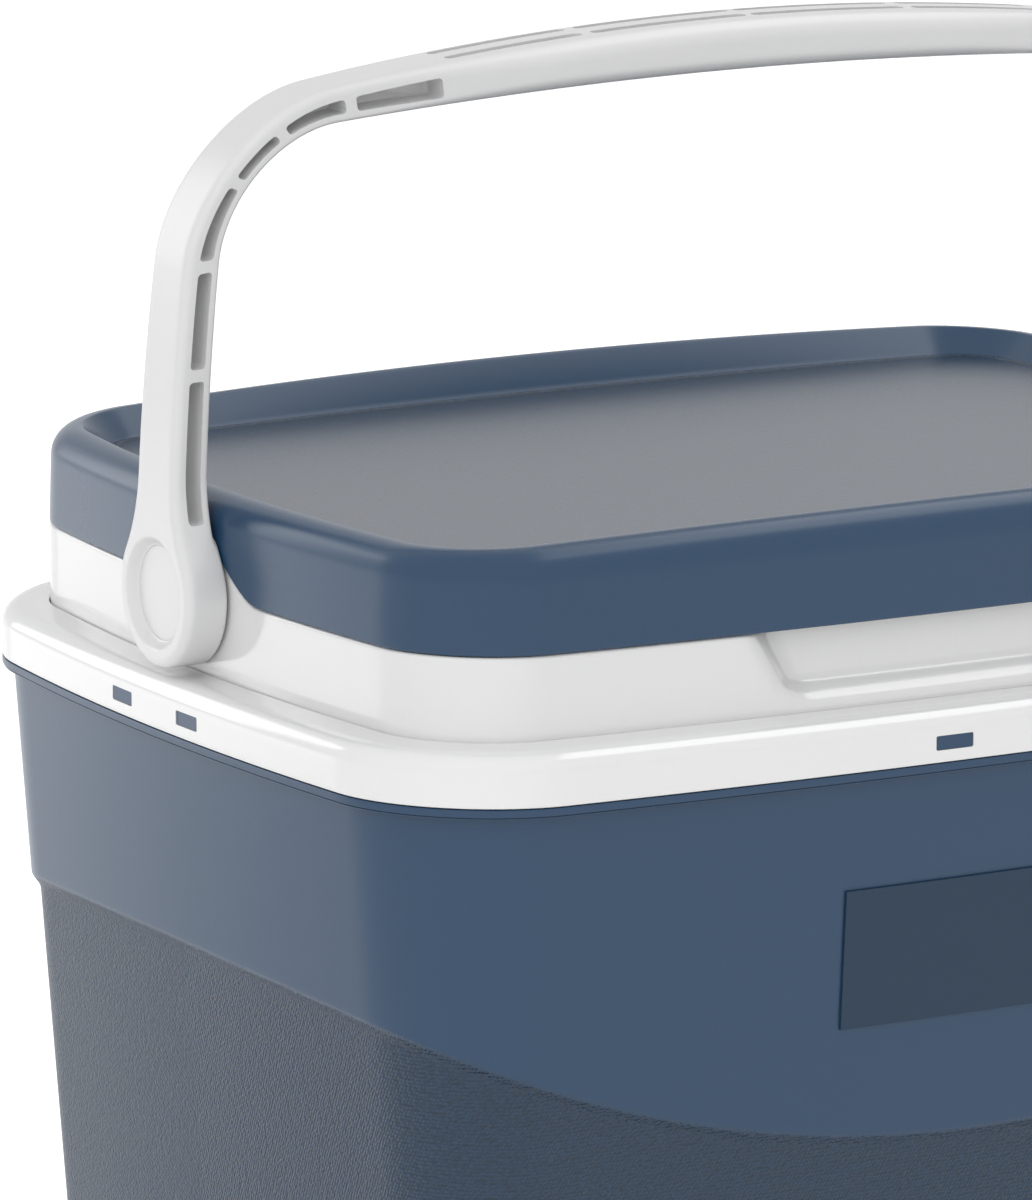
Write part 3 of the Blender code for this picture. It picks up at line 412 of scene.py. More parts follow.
shell_blue = grained_plastic("shell_blue", BLUE, 0.30, 0.38, PEBBLE_HEIGHT, in_rows=True)
# The lid's tray gets the same painted shade in its cells, with almost no bump under it.
lid_blue = grained_plastic("lid_blue", BLUE, 0.27, 0.29, TRAY_GRAIN, in_rows=False)
print("blue plastics ready")

# %% [markdown]
# The shell is the big blue bucket. It is drawn as one profile from the middle of the base, out to the foot,
# up the leaning wall to the lip under the collar, and back down inside. The border of the grained part is an
# arc that dips in the middle of each long side, so the rows near it bend: their height depends on x.

# %% Shell wall
WALL_DRAFT = 0.068
LIP_HEIGHT = 0.0035
LIP_OVERHANG = 0.0037
BORDER_DROP = 0.1225
BORDER_RADIUS = 0.427
GRAIN_STEP = 0.0025
GRAIN_FADE = 0.006
GRAIN_GAIN = 3
GRAIN_ROWS, FADE_ROWS, SMOOTH_ROWS = 24, 12, 30


def wall_inset(z):
    """How far the leaning wall stands inside the collar's face at height z."""
    return LIP_OVERHANG + WALL_DRAFT * (SEAM - LIP_HEIGHT - z)


def border(x):
    """Height of the grain's border at x: an arc of BORDER_RADIUS that is lowest in the middle."""
    return SEAM - BORDER_DROP + BORDER_RADIUS - np.sqrt(BORDER_RADIUS ** 2 - x ** 2)


def wall_rows(foot, extra):
    """Grid of the outer wall from foot to the lip, moved in by extra: x, y, z and the share of grain.

    Below the border a row lies evenly between the foot and the border; across it the wall steps in by
    GRAIN_STEP along a smooth cubic; above it a row lies evenly between the border and the lip.
    """
    edge_x, _ = outline(ROUND, wall_inset(SEAM - BORDER_DROP))
    top = border(edge_x)[None, :]
    low = np.linspace(0, 1, GRAIN_ROWS, endpoint=False)[:, None]
    fade = np.linspace(1, 0, FADE_ROWS, endpoint=False)[:, None]
    high = np.linspace(0, 1, SMOOTH_ROWS)[:, None]
    z = np.vstack([foot + (top - GRAIN_FADE - foot) * low, top - GRAIN_FADE * fade,
                   top + (SEAM - LIP_HEIGHT - top) * high])
    share = np.vstack([np.ones_like(low), fade, np.zeros_like(high)])
    step = share * share * (3 - 2 * share)
    x, y = outline(ROUND, wall_inset(z) + step * GRAIN_STEP + extra)
    return x, y, z, np.broadcast_to(np.minimum(1, GRAIN_GAIN * step), z.shape)


def level_rows(profile):
    """Grid of a plain profile of (inset, z) rows carried round the plan."""
    x, y = outline(ROUND, profile[:, :1])
    return x, y, np.broadcast_to(profile[:, 1:2], x.shape)


def girth_round():
    """Distance of each column round the wall, out to half the way and back, so that the halves mirror."""
    x, y = outline(ROUND, wall_inset(SEAM / 2))
    steps = np.hypot(np.diff(x, append=x[:1]), np.diff(y, append=y[:1]))
    reach = np.concatenate([[0.0], np.cumsum(steps)])
    return np.minimum(reach[:-1], reach[-1] - reach[:-1])


def store(mesh, name, rows):
    """Store a value on the mesh's first points, given as rows of its grid; the rest get none."""
    values = np.zeros(len(mesh.vertices))
    values[:rows.size] = rows.ravel()
    mesh.attributes.new(name, 'FLOAT', 'POINT').data.foreach_set("value", values)


print("grain up to %.0f mm in the middle of the front" % (border(0.0) * 1000))

# %% [markdown]
# The other parts of the profile are drawn as corners and arcs: the base with its foot, the lip with a fine
# groove and a spigot inside the collar, and the inside. Stacked in order with the wall's rows they make one
# grid, and a pole at each end closes the base from below and from above.

# %% Shell
SHELL_WALL = 0.0022
BASE_ROUND = 0.010
BASE_RISE = 0.004
BASE_MARGIN = 0.012
FOOT_WIDTH = 0.020
FOOT_ROUND = 0.002
FLOOR_ROUND = 0.006
WALL_START, INSIDE_START = 0.001, 0.004
LIP_GAP = 0.0003
LIP_GROOVE = 0.0004
LIP_FIN = 0.0004
LIP_ROUND = 0.0004
SPIGOT_INSET = 0.0028
SPIGOT_HEIGHT = 0.0110
SHELL_SHARP = 35

wall_foot = wall_inset(BASE_ROUND) + GRAIN_STEP
foot_inner = wall_foot + BASE_ROUND + FOOT_WIDTH
inside_foot = wall_foot + SHELL_WALL
floor_z = BASE_RISE + SHELL_WALL
lip_foot = SEAM - LIP_HEIGHT
lip_top = SEAM - LIP_GAP
spigot_top = SEAM + SPIGOT_HEIGHT
spigot_back = SPIGOT_INSET + SHELL_WALL
base = rounded([(foot_inner + BASE_MARGIN, BASE_RISE, 0), (foot_inner + BASE_RISE, BASE_RISE, FOOT_ROUND),
                (foot_inner, 0.0, FOOT_ROUND), (wall_foot, 0.0, BASE_ROUND), (wall_foot, BASE_ROUND, 0)])
lip = rounded([(LIP_OVERHANG, lip_foot, 0), (LIP_GROOVE, lip_foot, HAIR),
               (LIP_GROOVE, lip_foot + LIP_FIN, 0), (2 * LIP_GROOVE, lip_foot + LIP_FIN, 0),
               (2 * LIP_GROOVE, lip_foot + 2 * LIP_FIN, 0), (0.0, lip_foot + 2 * LIP_FIN, KEEN),
               (0.0, lip_top, LIP_ROUND), (SPIGOT_INSET, lip_top, 0), (SPIGOT_INSET, spigot_top, NEAT),
               (spigot_back, spigot_top, NEAT), (spigot_back, lip_foot, 0)])
inside = rounded([(inside_foot, BASE_ROUND, 0), (inside_foot, floor_z, FLOOR_ROUND), (foot_inner, floor_z, 0)])
outer_wall = wall_rows(BASE_ROUND + WALL_START, 0.0)
inner_wall = wall_rows(BASE_ROUND + INSIDE_START, SHELL_WALL)
levels = (level_rows(base), outer_wall[:3], level_rows(lip), [rows[::-1] for rows in inner_wall[:3]],
          level_rows(inside))
x, y, z = (np.vstack(rows) for rows in zip(*levels))
shell_mesh = skin("body_shell", x, y, z, start=BASE_RISE, stop=floor_z)
foot_share = np.broadcast_to(base[:, :1] < wall_foot + BASE_ROUND, (len(base), x.shape[1]))
store(shell_mesh, "grain", np.vstack([foot_share, outer_wall[3]]))
store(shell_mesh, "girth", np.tile(girth_round(), (len(x), 1)))
piece("body_shell", shell_mesh, shell_blue, "chest", ["outer_shell"], SHELL_SHARP)

# %% [markdown]
# The front wall carries a thin raised plate with crisp edges and a duller face. It is a slab of its own that
# follows the wall's bow and lean, so that it stands out equally far everywhere; its root is sunk in the wall.

# %% Front plate
PLATE_WIDTH = 0.116
PLATE_HEIGHT = 0.0454
PLATE_DROP = 0.0393
PLATE_RISE = 0.0010
PLATE_ROOT = 0.0010
PLATE_COLUMNS = 33
PLATE_WELD = 1e-6
PLATE_BLUE = (0.013, 0.035, 0.068)


def wall_face(x, z):
    """Distance of the front wall from the middle of the chest at x and height z."""
    half_x = HALF_LENGTH - wall_inset(z) - END_BOW
    return HALF_DEPTH - wall_inset(z) - SIDE_BOW * (x / half_x) ** 2


def plate_slab():
    """A slab on the front wall: rings round its outline at two depths, which follow the wall's own formula.

    The first and the last ring lie on the slab's middle line, which closes its back and its face.
    """
    across = np.linspace(-PLATE_WIDTH / 2, PLATE_WIDTH / 2, PLATE_COLUMNS)
    low, high = SEAM - PLATE_DROP - PLATE_HEIGHT, SEAM - PLATE_DROP
    middle = (low + high) / 2
    x = np.concatenate([across, across[::-1]])[None, :]
    depth = np.array([PLATE_ROOT, PLATE_ROOT, -PLATE_RISE, -PLATE_RISE])[:, None]
    z = middle + BLOCK_ENDS * np.repeat([low - middle, high - middle], PLATE_COLUMNS)[None, :]
    return patch(x, depth - wall_face(x, z), z)


plate_blue = plain_plastic("plate_blue", PLATE_BLUE, 0.5, shine=0.35)
plate_mesh = closed("front_plate", [plate_slab()], PLATE_WELD)
piece("front_plate", plate_mesh, plate_blue, "chest")

# %% [markdown]
# The collar is a white ring that clips over the shell. Small blue tabs on the shell reach through windows in
# it. The ring is a closed profile, so its rows join round; the windows are cut out of it with rounded blocks,
# and the tabs are the same blocks, a hair smaller.

# %% Collar
FLANGE_WALL = 0.0025
FLANGE_ROUND = 0.0065
FLANGE_LEAD = 0.008
SHELF_OUTER = 0.0166
SHELF_INNER = 0.0176
SHELF_UNDER = 0.0136
SHELF_ROUND = 0.0006
NECK_INSET = 0.0155
NECK_GAP = 0.0003
WINDOW_WIDTH = 0.0138
WINDOW_HEIGHT = 0.0047
WINDOW_RISE = 0.0040
WINDOW_PITCH = 0.044
WINDOW_CORNER = 0.0006
WINDOW_CUT = (-0.002, 0.004)
TAB_GAP = 0.0001
TAB_REACH = (0.0004, 0.0040)


def rounded_rectangle(width, height, radius, steps=4):
    """Points round a rectangle with rounded corners, anticlockwise, about its middle."""
    turn = np.linspace(0, math.pi / 2, steps + 1)
    corner = np.arange(4).repeat(steps + 1)
    angle = np.tile(turn, 4) + corner * math.pi / 2
    right = np.array([1, -1, -1, 1])[corner]
    upper = np.array([1, 1, -1, -1])[corner]
    return (right * (width / 2 - radius) + radius * np.cos(angle),
            upper * (height / 2 - radius) + radius * np.sin(angle))


def blocks(name, gap, outer, inner):
    """Rounded blocks at the eight windows, smaller by gap all round, from outer to inner inside the face.

    Each block is a rounded rectangle in the face's plane, carried inwards.
    """
    height = WINDOW_HEIGHT - 2 * gap
    u, v = rounded_rectangle(WINDOW_WIDTH - 2 * gap, height, WINDOW_CORNER)
    reach = np.array([outer, outer, inner, inner])[:, None]
    shift, up = u * BLOCK_ENDS, SEAM + WINDOW_RISE + gap + height / 2 + v * BLOCK_ENDS
    parts = []
    for middle in (-WINDOW_PITCH / 2, WINDOW_PITCH / 2):
        for side in (-1, 1):
            parts += [patch(side * (HALF_LENGTH - reach), middle + shift, up),
                      patch(middle + shift, side * (HALF_DEPTH - reach), up)]
    return closed(name, parts)


# The first corner only aims the first arc: its two rows are dropped, and the loop closes without them.
shelf_edge = NECK_INSET - NECK_GAP
shelf_under = SEAM + SHELF_UNDER
collar_profile = rounded([(FLANGE_LEAD, SEAM, 0), (0.0, SEAM, NEAT), (0.0, SEAM + SHELF_OUTER, FLANGE_ROUND),
                          (shelf_edge, SEAM + SHELF_INNER, SHELF_ROUND), (shelf_edge, shelf_under, CRISP),
                          (FLANGE_WALL, shelf_under, EASED), (FLANGE_WALL, SEAM, 0)])[2:]
collar_mesh = carve(skin("collar", *level_rows(collar_profile), loop=True), blocks("windows", 0.0, *WINDOW_CUT))
piece("collar", collar_mesh, collar_white, "chest", ["collar_ring"])
piece("clip_tabs", blocks("clip_tabs", TAB_GAP, *TAB_REACH), shell_blue, "chest")

# %% [markdown]
# Inside the collar stands the white neck. Front and back its wall is pushed in to make room for fingers under
# the lid's edge. A push like that is a displacement: each point of the wall moves in by a depth that depends
# on where it lies. The columns lean with the recess's slanted sides, so its edges stay clean.

# %% Finger recess
NECK_TOP = SEAM + 0.0441
RECESS_DEPTH = 0.0070
RECESS_TOP = 0.0875
RECESS_LEAN = 0.585
RECESS_SIDE = 0.0100
RECESS_FOOT = 0.0205
RECESS_RAMP = 0.0065
STRAIGHT = HALF_LENGTH - END_BOW - CORNER_RADIUS


def soft_ramp(value, soft=0.22):
    """A ramp from 0 to 1 with parabolic ends: q(v) - q(v - 1), q going from 0 to v within soft of 0."""
    def bend(v):
        return np.where(v < -soft, 0.0, np.where(v > soft, v, (v + soft) ** 2 / (4 * soft)))
    return bend(value) - bend(value - 1)


def recess_edge(z):
    """Half length of the finger recess at height z: it narrows towards its foot."""
    return RECESS_TOP - RECESS_LEAN * (NECK_TOP - z)


def leaning(z):
    """The columns, with those along the front and back shifted so that they follow the recess's sides.

    A share s of the straight side is stretched by edge(z) / edge(top) out to the recess's side, and then runs
    evenly on to the corner, which stays where it was.
    """
    e, t, s, sign_x, sign_y = ROUND
    knee = RECESS_TOP / STRAIGHT
    moved = recess_edge(z) / STRAIGHT
    stretched = np.where(s < knee, s * moved / knee, moved + (s - knee) * (1 - moved) / (1 - knee))
    return e, t, np.where(t > 0, stretched, s), sign_x, sign_y


def recess(columns, z):
    """Depth of the finger recess: a soft ramp in from its sides times a soft ramp up from its foot."""
    _, t, s, _, _ = columns
    sides = soft_ramp((recess_edge(z) - s * STRAIGHT) / RECESS_SIDE)
    foot = soft_ramp((z - SEAM - RECESS_FOOT) / RECESS_RAMP)
    return np.where(t >= math.pi / 2, RECESS_DEPTH * sides * foot, 0.0)


print("recess %.0f mm long at the top" % (2000 * RECESS_TOP))

# %% [markdown]
# The neck's wall is upright and glossy, with a narrow ledge on top. At both ends the top rises in a
# bell-shaped ear that carries the pivot: the rows near the top are lifted by a raised cosine.

# %% Neck
NECK_WALL = 0.0020
NECK_ROWS = 34
NECK_ROUND = 0.0012
NECK_SINK = 0.0010
NECK_FOOT = SEAM + 0.0133
FLANGE_UNDER = SEAM + 0.0113
LEDGE_EDGE = 0.0254
LEDGE_KEEP = 0.0006
EAR_HALF_WIDTH = 0.040
EAR_HEIGHT = 0.0190
EAR_RAMP = 0.006
END_ZONE = 0.05


def bell(y, half_width, height):
    """A raised cosine: height in the middle, fading to nothing at half_width."""
    return np.where(np.abs(y) < half_width, height * (1 + np.cos(math.pi * y / half_width)) / 2, 0.0)


upright = np.linspace(NECK_FOOT, NECK_TOP - NECK_ROUND, NECK_ROWS)
ledge = rounded([(NECK_INSET, NECK_FOOT, 0), (NECK_INSET, NECK_TOP, NECK_ROUND), (LEDGE_EDGE, NECK_TOP, CRISP),
                 (LEDGE_EDGE, NECK_TOP - NECK_WALL, 0)])[3:]
wall = np.column_stack([np.full(NECK_ROWS, NECK_INSET), upright])
behind = np.column_stack([np.full(NECK_ROWS, NECK_INSET + NECK_WALL), upright[::-1] - NECK_SINK])
flange = np.array([(SPIGOT_INSET, FLANGE_UNDER), (SPIGOT_INSET, NECK_FOOT)])
profile = np.vstack([wall, ledge, behind, flange])
inset, height = profile[:, :1], profile[:, 1:]
columns = leaning(np.clip(height, SEAM, NECK_TOP))
inner_end = LEDGE_EDGE - LEDGE_KEEP
depth = recess(columns, height) * (inset < inner_end) * (inset >= NECK_INSET)
x, y = outline(columns, np.minimum(inset + depth, np.maximum(inset, inner_end)))
rising = np.clip((height - NECK_TOP + EAR_RAMP) / EAR_RAMP, 0, 1)
rising[NECK_ROWS + len(ledge):] = 0
z = height + rising * bell(y, EAR_HALF_WIDTH, EAR_HEIGHT) * (np.abs(x) > HALF_LENGTH - END_ZONE)
piece("neck", skin("neck", x, y, z, loop=True), neck_white, "chest", ["neck_ring"])

# %% [markdown]
# The tub that holds the ice is drawn like the shell, with one profile: from the middle of its outside up to
# the rolled rim, over it, and down the inside to the floor.

# %% Tub
TUB_WALL = 0.0020
TUB_ROUND = 0.014
TUB_MARGINS = (0.02, 0.03)
RIM_WIDTH = 0.0090
RIM_ROUND = 0.0015
rim_inset = HALF_LENGTH - tub_high.x
mouth_inset = rim_inset + RIM_WIDTH
rim_foot, rim_under = NECK_TOP - TUB_WALL, RIM_TOP - TUB_WALL
tub_floor = TUB_UNDER + TUB_WALL
floor_inset = mouth_inset + WALL_DRAFT * (RIM_TOP - tub_floor)
tub_profile = rounded([(floor_inset + TUB_MARGINS[0], TUB_UNDER, 0),
                       (floor_inset - TUB_WALL, TUB_UNDER, TUB_ROUND + TUB_WALL),
                       (mouth_inset - TUB_WALL, rim_under, NEAT), (rim_inset + TUB_WALL, rim_under, NEAT),
                       (rim_inset + TUB_WALL, rim_foot, CRISP), (rim_inset, rim_foot, CRISP),
                       (rim_inset, RIM_TOP, RIM_ROUND), (mouth_inset, RIM_TOP, RIM_ROUND),
                       (floor_inset, tub_floor, TUB_ROUND), (floor_inset + TUB_MARGINS[1], tub_floor, 0)])
tub_mesh = skin("tub", *level_rows(tub_profile), start=TUB_UNDER, stop=tub_floor)
piece("tub", tub_mesh, collar_white, "chest", ["inner_tub"])

# %% [markdown]
# The lid is a thin blue moulding: an upright side, a generous round, a narrow crest, and a slope down to the
# flat tray on top, which a small bead frames. Its profile goes from the middle of the underside out to the
# lower edge, up the side and over the crest to the middle of the tray.

# %% Lid profile
LID_WALL = 0.0022
LID_DRAFT = 0.0009
LID_SIDE = 0.0229
LID_ROUND = 0.0088
LID_RISE = 0.0085
LID_CREST = 0.0008
LID_ARC_STEPS = 8
TRAY_DEPTH = 0.0078
TRAY_SLOPE = 0.0072
TRAY_MARGIN = 0.03
UNDER_TUCK = 0.0014
UNDER_ROUND = 0.006
HEM_ROUND = 0.0008
CREST_ROUND = 0.0012
TRAY_ROUND = 0.0006
BEAD_GAP = 0.0010
BEAD_FLANK = 0.0003
BEAD_WIDTH = 0.0012
BEAD_HEIGHT = 0.0005
shoulder = LID_EDGE + LID_SIDE
lid_top = shoulder + LID_RISE
lid_under = lid_top - LID_WALL
tray_z = lid_top - TRAY_DEPTH
crest = LID_DRAFT + LID_ROUND
tray_foot = crest + LID_CREST + TRAY_SLOPE
bead = tray_foot + BEAD_GAP
bead_end = bead + 2 * BEAD_FLANK + BEAD_WIDTH
tray_under = tray_z - LID_WALL
underside = [(tray_foot + TRAY_MARGIN, tray_under, 0), (tray_foot - UNDER_TUCK, tray_under, EASED),
             (crest, lid_under, EASED), (LID_DRAFT + LID_WALL, lid_under, UNDER_ROUND),
             (LID_WALL, LID_EDGE, CRISP)]
topside = [(0.0, LID_EDGE, HEM_ROUND), (LID_DRAFT, lid_top, LID_ROUND),
           (crest + LID_CREST, lid_top, CREST_ROUND), (tray_foot, tray_z, TRAY_ROUND), (bead, tray_z, HAIR),
           (bead + BEAD_FLANK, tray_z + BEAD_HEIGHT, HAIR),
           (bead_end - BEAD_FLANK, tray_z + BEAD_HEIGHT, HAIR), (bead_end, tray_z, HAIR),
           (tray_foot + TRAY_MARGIN, tray_z, 0)]
lid_profile = rounded(underside + topside, LID_ARC_STEPS)
print("lid profile", len(lid_profile), "rows, %.1f mm high" % ((lid_top - LID_EDGE) * 1000))

# %% [markdown]
# The crest is crowned along its length, so rows near the top rise by a parabola in x. Each end has a
# bell-shaped notch over the pivot: the side gets more rows, and they are squeezed upwards there, so that no
# cut is needed.

# %% Lid
LID_EASE = 0.0025
LID_CROWN = 0.0037
CROWN_KEEP = 0.0008
SIDE_START = 0.002
SIDE_PARTS = 11
NOTCH_HEIGHT = 0.0198
NOTCH_HALF_WIDTH = 0.0412
on_side = (lid_profile[:, 1] > LID_EDGE + SIDE_START) & (lid_profile[:, 0] < LID_DRAFT)
first = int(np.argmax(on_side))
parts = np.linspace(0, 1, SIDE_PARTS + 1)[1:-1, None]
between = lid_profile[first] + (lid_profile[first + 1] - lid_profile[first]) * parts
lid_profile = np.vstack([lid_profile[:first + 1], between, lid_profile[first + 1:]])
inset, height = lid_profile[:, :1], lid_profile[:, 1:]
x, y = outline(ROUND, LID_INSET + inset, LID_EASE)
reach = np.abs(x).max(axis=1, keepdims=True)
crown = np.clip((height - shoulder) / LID_RISE, 0, 1) * (inset < tray_foot - CROWN_KEEP)
share = np.clip((height - LID_EDGE) / LID_SIDE, 0, 1)
notch = bell(y, NOTCH_HALF_WIDTH, NOTCH_HEIGHT) * (np.abs(x) > HALF_LENGTH - END_ZONE) * (inset < crest)
z = height + crown * LID_CROWN * (1 - (x / reach) ** 2) + notch * (1 - share)
lid_mesh = skin("lid", x, y, z, start=tray_under, stop=tray_z)
in_tray = (inset >= tray_foot) & (height < tray_z + 2 * BEAD_HEIGHT)
store(lid_mesh, "grain", np.broadcast_to(in_tray, z.shape))
lid_mesh.attributes["grain"].data[-1].value = 1.0
piece("lid", lid_mesh, lid_blue, "lid", ["lid_shell"])

# %% [markdown]
# The bail handle is one white moulding from hub to hub. Its two long faces are again bowed rounded rectangles,
# this time upright, and the bar's section is carried between them. Sections change along the way: the arms
# are flat bars, and the grip swells and gets a domed top.

# %% Bail faces
BAIL_INNER = (0.2052, 0.1550, 0.0114, 0.0100, 0.0380)
BAIL_OUTER = (0.2178, 0.1719, 0.0138, 0.0202, 0.0460)
HUB_RADIUS = 0.024
HUB_FILLET = 0.050
ARM_HALF = 0.0129
ARM_HALF_TOP = 0.0121
ARM_FOOT = math.sqrt((HUB_RADIUS + HUB_FILLET) ** 2 - (ARM_HALF + HUB_FILLET) ** 2)
ARM_TOP = 0.106
GRIP_HALF = 0.0155
GRIP_START, GRIP_FULL = 0.150, 0.070
GRIP_ABOVE = 0.08
BAIL_COLUMNS = (40, 22, 60)


def bail_face(sizes):
    """A long face of the bail from its right foot to its left one, as x and rise above the pivot.

    The foot's share e is chosen so that the face starts exactly at ARM_FOOT.
    """
    _, half_rise, _, side_bow, radius = sizes
    first = ARM_FOOT / (half_rise - side_bow - radius)
    x, rise = bowed(*quarter(*BAIL_COLUMNS, first), *sizes)
    return np.stack([np.concatenate([x, -x[-2::-1]]), np.concatenate([rise, rise[-2::-1]])], axis=-1)


def smooth(value):
    """Smooth step from 0 to 1: 3 v² - 2 v³."""
    value = np.clip(value, 0, 1)
    return value * value * (3 - 2 * value)


near = bail_face(BAIL_INNER)
far = bail_face(BAIL_OUTER)
across = far - near
bar_depth = np.linalg.norm(across, axis=1)
across = across / bar_depth[:, None]
gripping = smooth((GRIP_START - np.abs(near[:, 0])) / (GRIP_START - GRIP_FULL)) * (near[:, 1] > GRIP_ABOVE)
climb = np.clip((near[:, 1] - ARM_FOOT) / (ARM_TOP - ARM_FOOT), 0, 1)
bar_half = ARM_HALF + (ARM_HALF_TOP - ARM_HALF) * climb + (GRIP_HALF - ARM_HALF_TOP) * gripping
print("bail stations", len(near), "bar %.1f to %.1f mm deep" % (bar_depth.min() * 1000, bar_depth.max() * 1000))

# %% [markdown]
# A section is a rounded bar: domed outer face, rounded edges, flat sides and a softer edge where the fingers
# go. All sections have the same number of points in the same order, so the grid is simply one section after
# another.

# %% Bail sections
OUTER_EDGE = 0.0030
INNER_EDGE = 0.0013
UNDER_EDGE = 0.0045
GRIP_EDGE = 0.0060
GRIP_DOME = 0.0006
FACE_POINTS = 11
EDGE_POINTS = 6
SIDE_POINTS = 4


def sections(half, depth, dome, outer_edge, inner_edge):
    """Points round each section, as (y, reach from the inner face), one row for each section.

    From the outer face's +y end: across the domed face, a quarter turn, down the side, a quarter turn, across
    the inner face, and the same back up. The face is depth - dome (y / half)² from the inner one.
    """
    half, dome = half[:, None], dome[:, None]
    depth = depth[:, None] - dome
    q, p = outer_edge[:, None], inner_edge[:, None]
    face = np.linspace(1, -1, FACE_POINTS)[None, 1:-1]
    turn = np.linspace(0, math.pi / 2, EDGE_POINTS)[None, :]
    drop = np.linspace(0, 1, SIDE_POINTS + 2)[None, 1:-1]
    outer_y, outer_r = half - q + q * np.sin(turn), depth - q + q * np.cos(turn)
    inner_y, inner_r = half - p + p * np.cos(turn), p - p * np.sin(turn)
    side_r = depth - q + (p - depth + q) * drop
    side_y = np.broadcast_to(half, side_r.shape)
    y = np.hstack([(half - q) * face, -outer_y, -side_y, -inner_y, -(half - p) * face,
                   inner_y[:, ::-1], side_y, outer_y[:, ::-1]])
    reach = np.hstack([depth + 0 * face, outer_r, side_r, inner_r, 0 * face + 0 * depth,
                       inner_r[:, ::-1], side_r[:, ::-1], outer_r[:, ::-1]])
    on_top = np.clip((reach - depth + q) / q, 0, 1)
    return y, reach + dome * on_top * (1 - (y / half) ** 2)


edge_out = OUTER_EDGE + (GRIP_EDGE - OUTER_EDGE) * gripping
edge_in = INNER_EDGE + (UNDER_EDGE - INNER_EDGE) * gripping
bar_y, bar_reach = sections(bar_half, bar_depth, GRIP_DOME * gripping, edge_out, edge_in)
bar_x = near[:, :1] + across[:, :1] * bar_reach
bar_z = PIVOT + near[:, 1:] + across[:, 1:] * bar_reach
bar = patch(bar_x, bar_y, bar_z)
print("bail bar", bar_x.shape)

# %% [markdown]
# Each arm ends in a round hub with a dished face, and flows into it without a line. Where a bar meets a disc,
# a Boolean would leave a crease, so the hub is its own grid. Its outline comes first: the disc's edge, two
# fillets up to the arm, and the arm's foot line, whose points are exactly those of the bar's first section.

# %% Hub outline
HUB_INSIDE = 0.2033
DISC_EDGE, DISC_STEP = 0.0238, 0.0016
FILLET_POINTS, DISC_POINTS = 20, 97
top_share = np.linspace(1, -1, FACE_POINTS)[1:-1]
top_count = len(top_share)


def hub_shape():
    """The hub's edge as y, rise and outward normal, from the arm's foot at -y round below to its foot at +y.

    A fillet of HUB_FILLET, whose centre lies beside the arm's foot, touches the circle of HUB_RADIUS.
    """
    lean = math.atan2(ARM_FOOT, ARM_HALF + HUB_FILLET)
    fillet = np.linspace(0, -lean, FILLET_POINTS, endpoint=False)
    disc = np.linspace(math.pi - lean, 2 * math.pi + lean, DISC_POINTS)
    y = np.concatenate([-(ARM_HALF + HUB_FILLET) + HUB_FILLET * np.cos(fillet), HUB_RADIUS * np.cos(disc)])
    rise = np.concatenate([ARM_FOOT + HUB_FILLET * np.sin(fillet), HUB_RADIUS * np.sin(disc)])
    normal = np.concatenate([-np.exp(1j * fillet), np.exp(1j * disc)])
    tail = slice(FILLET_POINTS - 1, None, -1)
    return (np.concatenate([y, -y[tail]]), np.concatenate([rise, rise[tail]]),
            np.concatenate([normal, -normal[tail].conj()]))


def face_x(rise):
    """The arm's outer face at a height above the pivot, by the same bow as the whole outer face."""
    half_x, half_rise, end_bow, side_bow, _ = BAIL_OUTER
    return half_x - end_bow * (np.maximum(rise, 0) / (half_rise - side_bow)) ** 2


def back_x(y, rise):
    """The arm's inner face, which steps in to the deeper disc at DISC_EDGE from the pivot."""
    half_x, half_rise, end_bow, side_bow, _ = BAIL_INNER
    arm = half_x - end_bow * (ARM_FOOT / (half_rise - side_bow)) ** 2
    return HUB_INSIDE + (arm - HUB_INSIDE) * smooth((np.hypot(y, rise) - DISC_EDGE) / DISC_STEP)


edge_y, edge_rise, normal = hub_shape()


def hub_ring(offset, edge):
    """The hub's edge moved in by offset, with the arm's foot line, short of its corners by edge, before it."""
    y = np.concatenate([(ARM_HALF - edge) * top_share, edge_y - offset * normal.real])
    rise = np.concatenate([np.full(top_count, ARM_FOOT), edge_rise - offset * normal.imag])
    return y, rise


outer_ring = hub_ring(OUTER_EDGE, OUTER_EDGE)
inner_ring = hub_ring(INNER_EDGE, INNER_EDGE)
heading = np.arctan2(*outer_ring[::-1])
print("hub outline", len(heading), "points")

# %% [markdown]
# Rings go from the bore outwards: the seats of pin and cap, the dish, then a morph from circles into the
# outline of hub and arm together. They turn round its edge, come back along the inside, and end at the bore.
# Between edge and edge the faces along the foot line are left out, since the bar goes on there.

# %% Hub
BORE = 0.0053
PIN_SEAT = (0.0080, 0.2101)
CAP_SEAT = (0.0153, 0.2141)
DISH_FLOOR = 0.2146
DISH_RIM = 0.0187
WASHER_SEAT = (0.0110, 0.2049)
DISH_ROWS, FACE_ROWS, BACK_ROWS = 12, 8, 6


def shares(count):
    """Shares of a way in count equal steps, without its start."""
    return np.linspace(0, 1, count + 1)[1:]


def circle(radius):
    """A circle about the pivot with the outline's headings, as y and rise."""
    return radius * np.cos(heading), radius * np.sin(heading)


def level_circle(radius, x):
    """A row of the hub that is a circle at one distance from the chest's middle."""
    return (*circle(radius), np.full_like(heading, x))


def blend(start, stop, share):
    """Points on the straight way from one ring to another."""
    return [(1 - share) * a + share * b for a, b in zip(start, stop)]


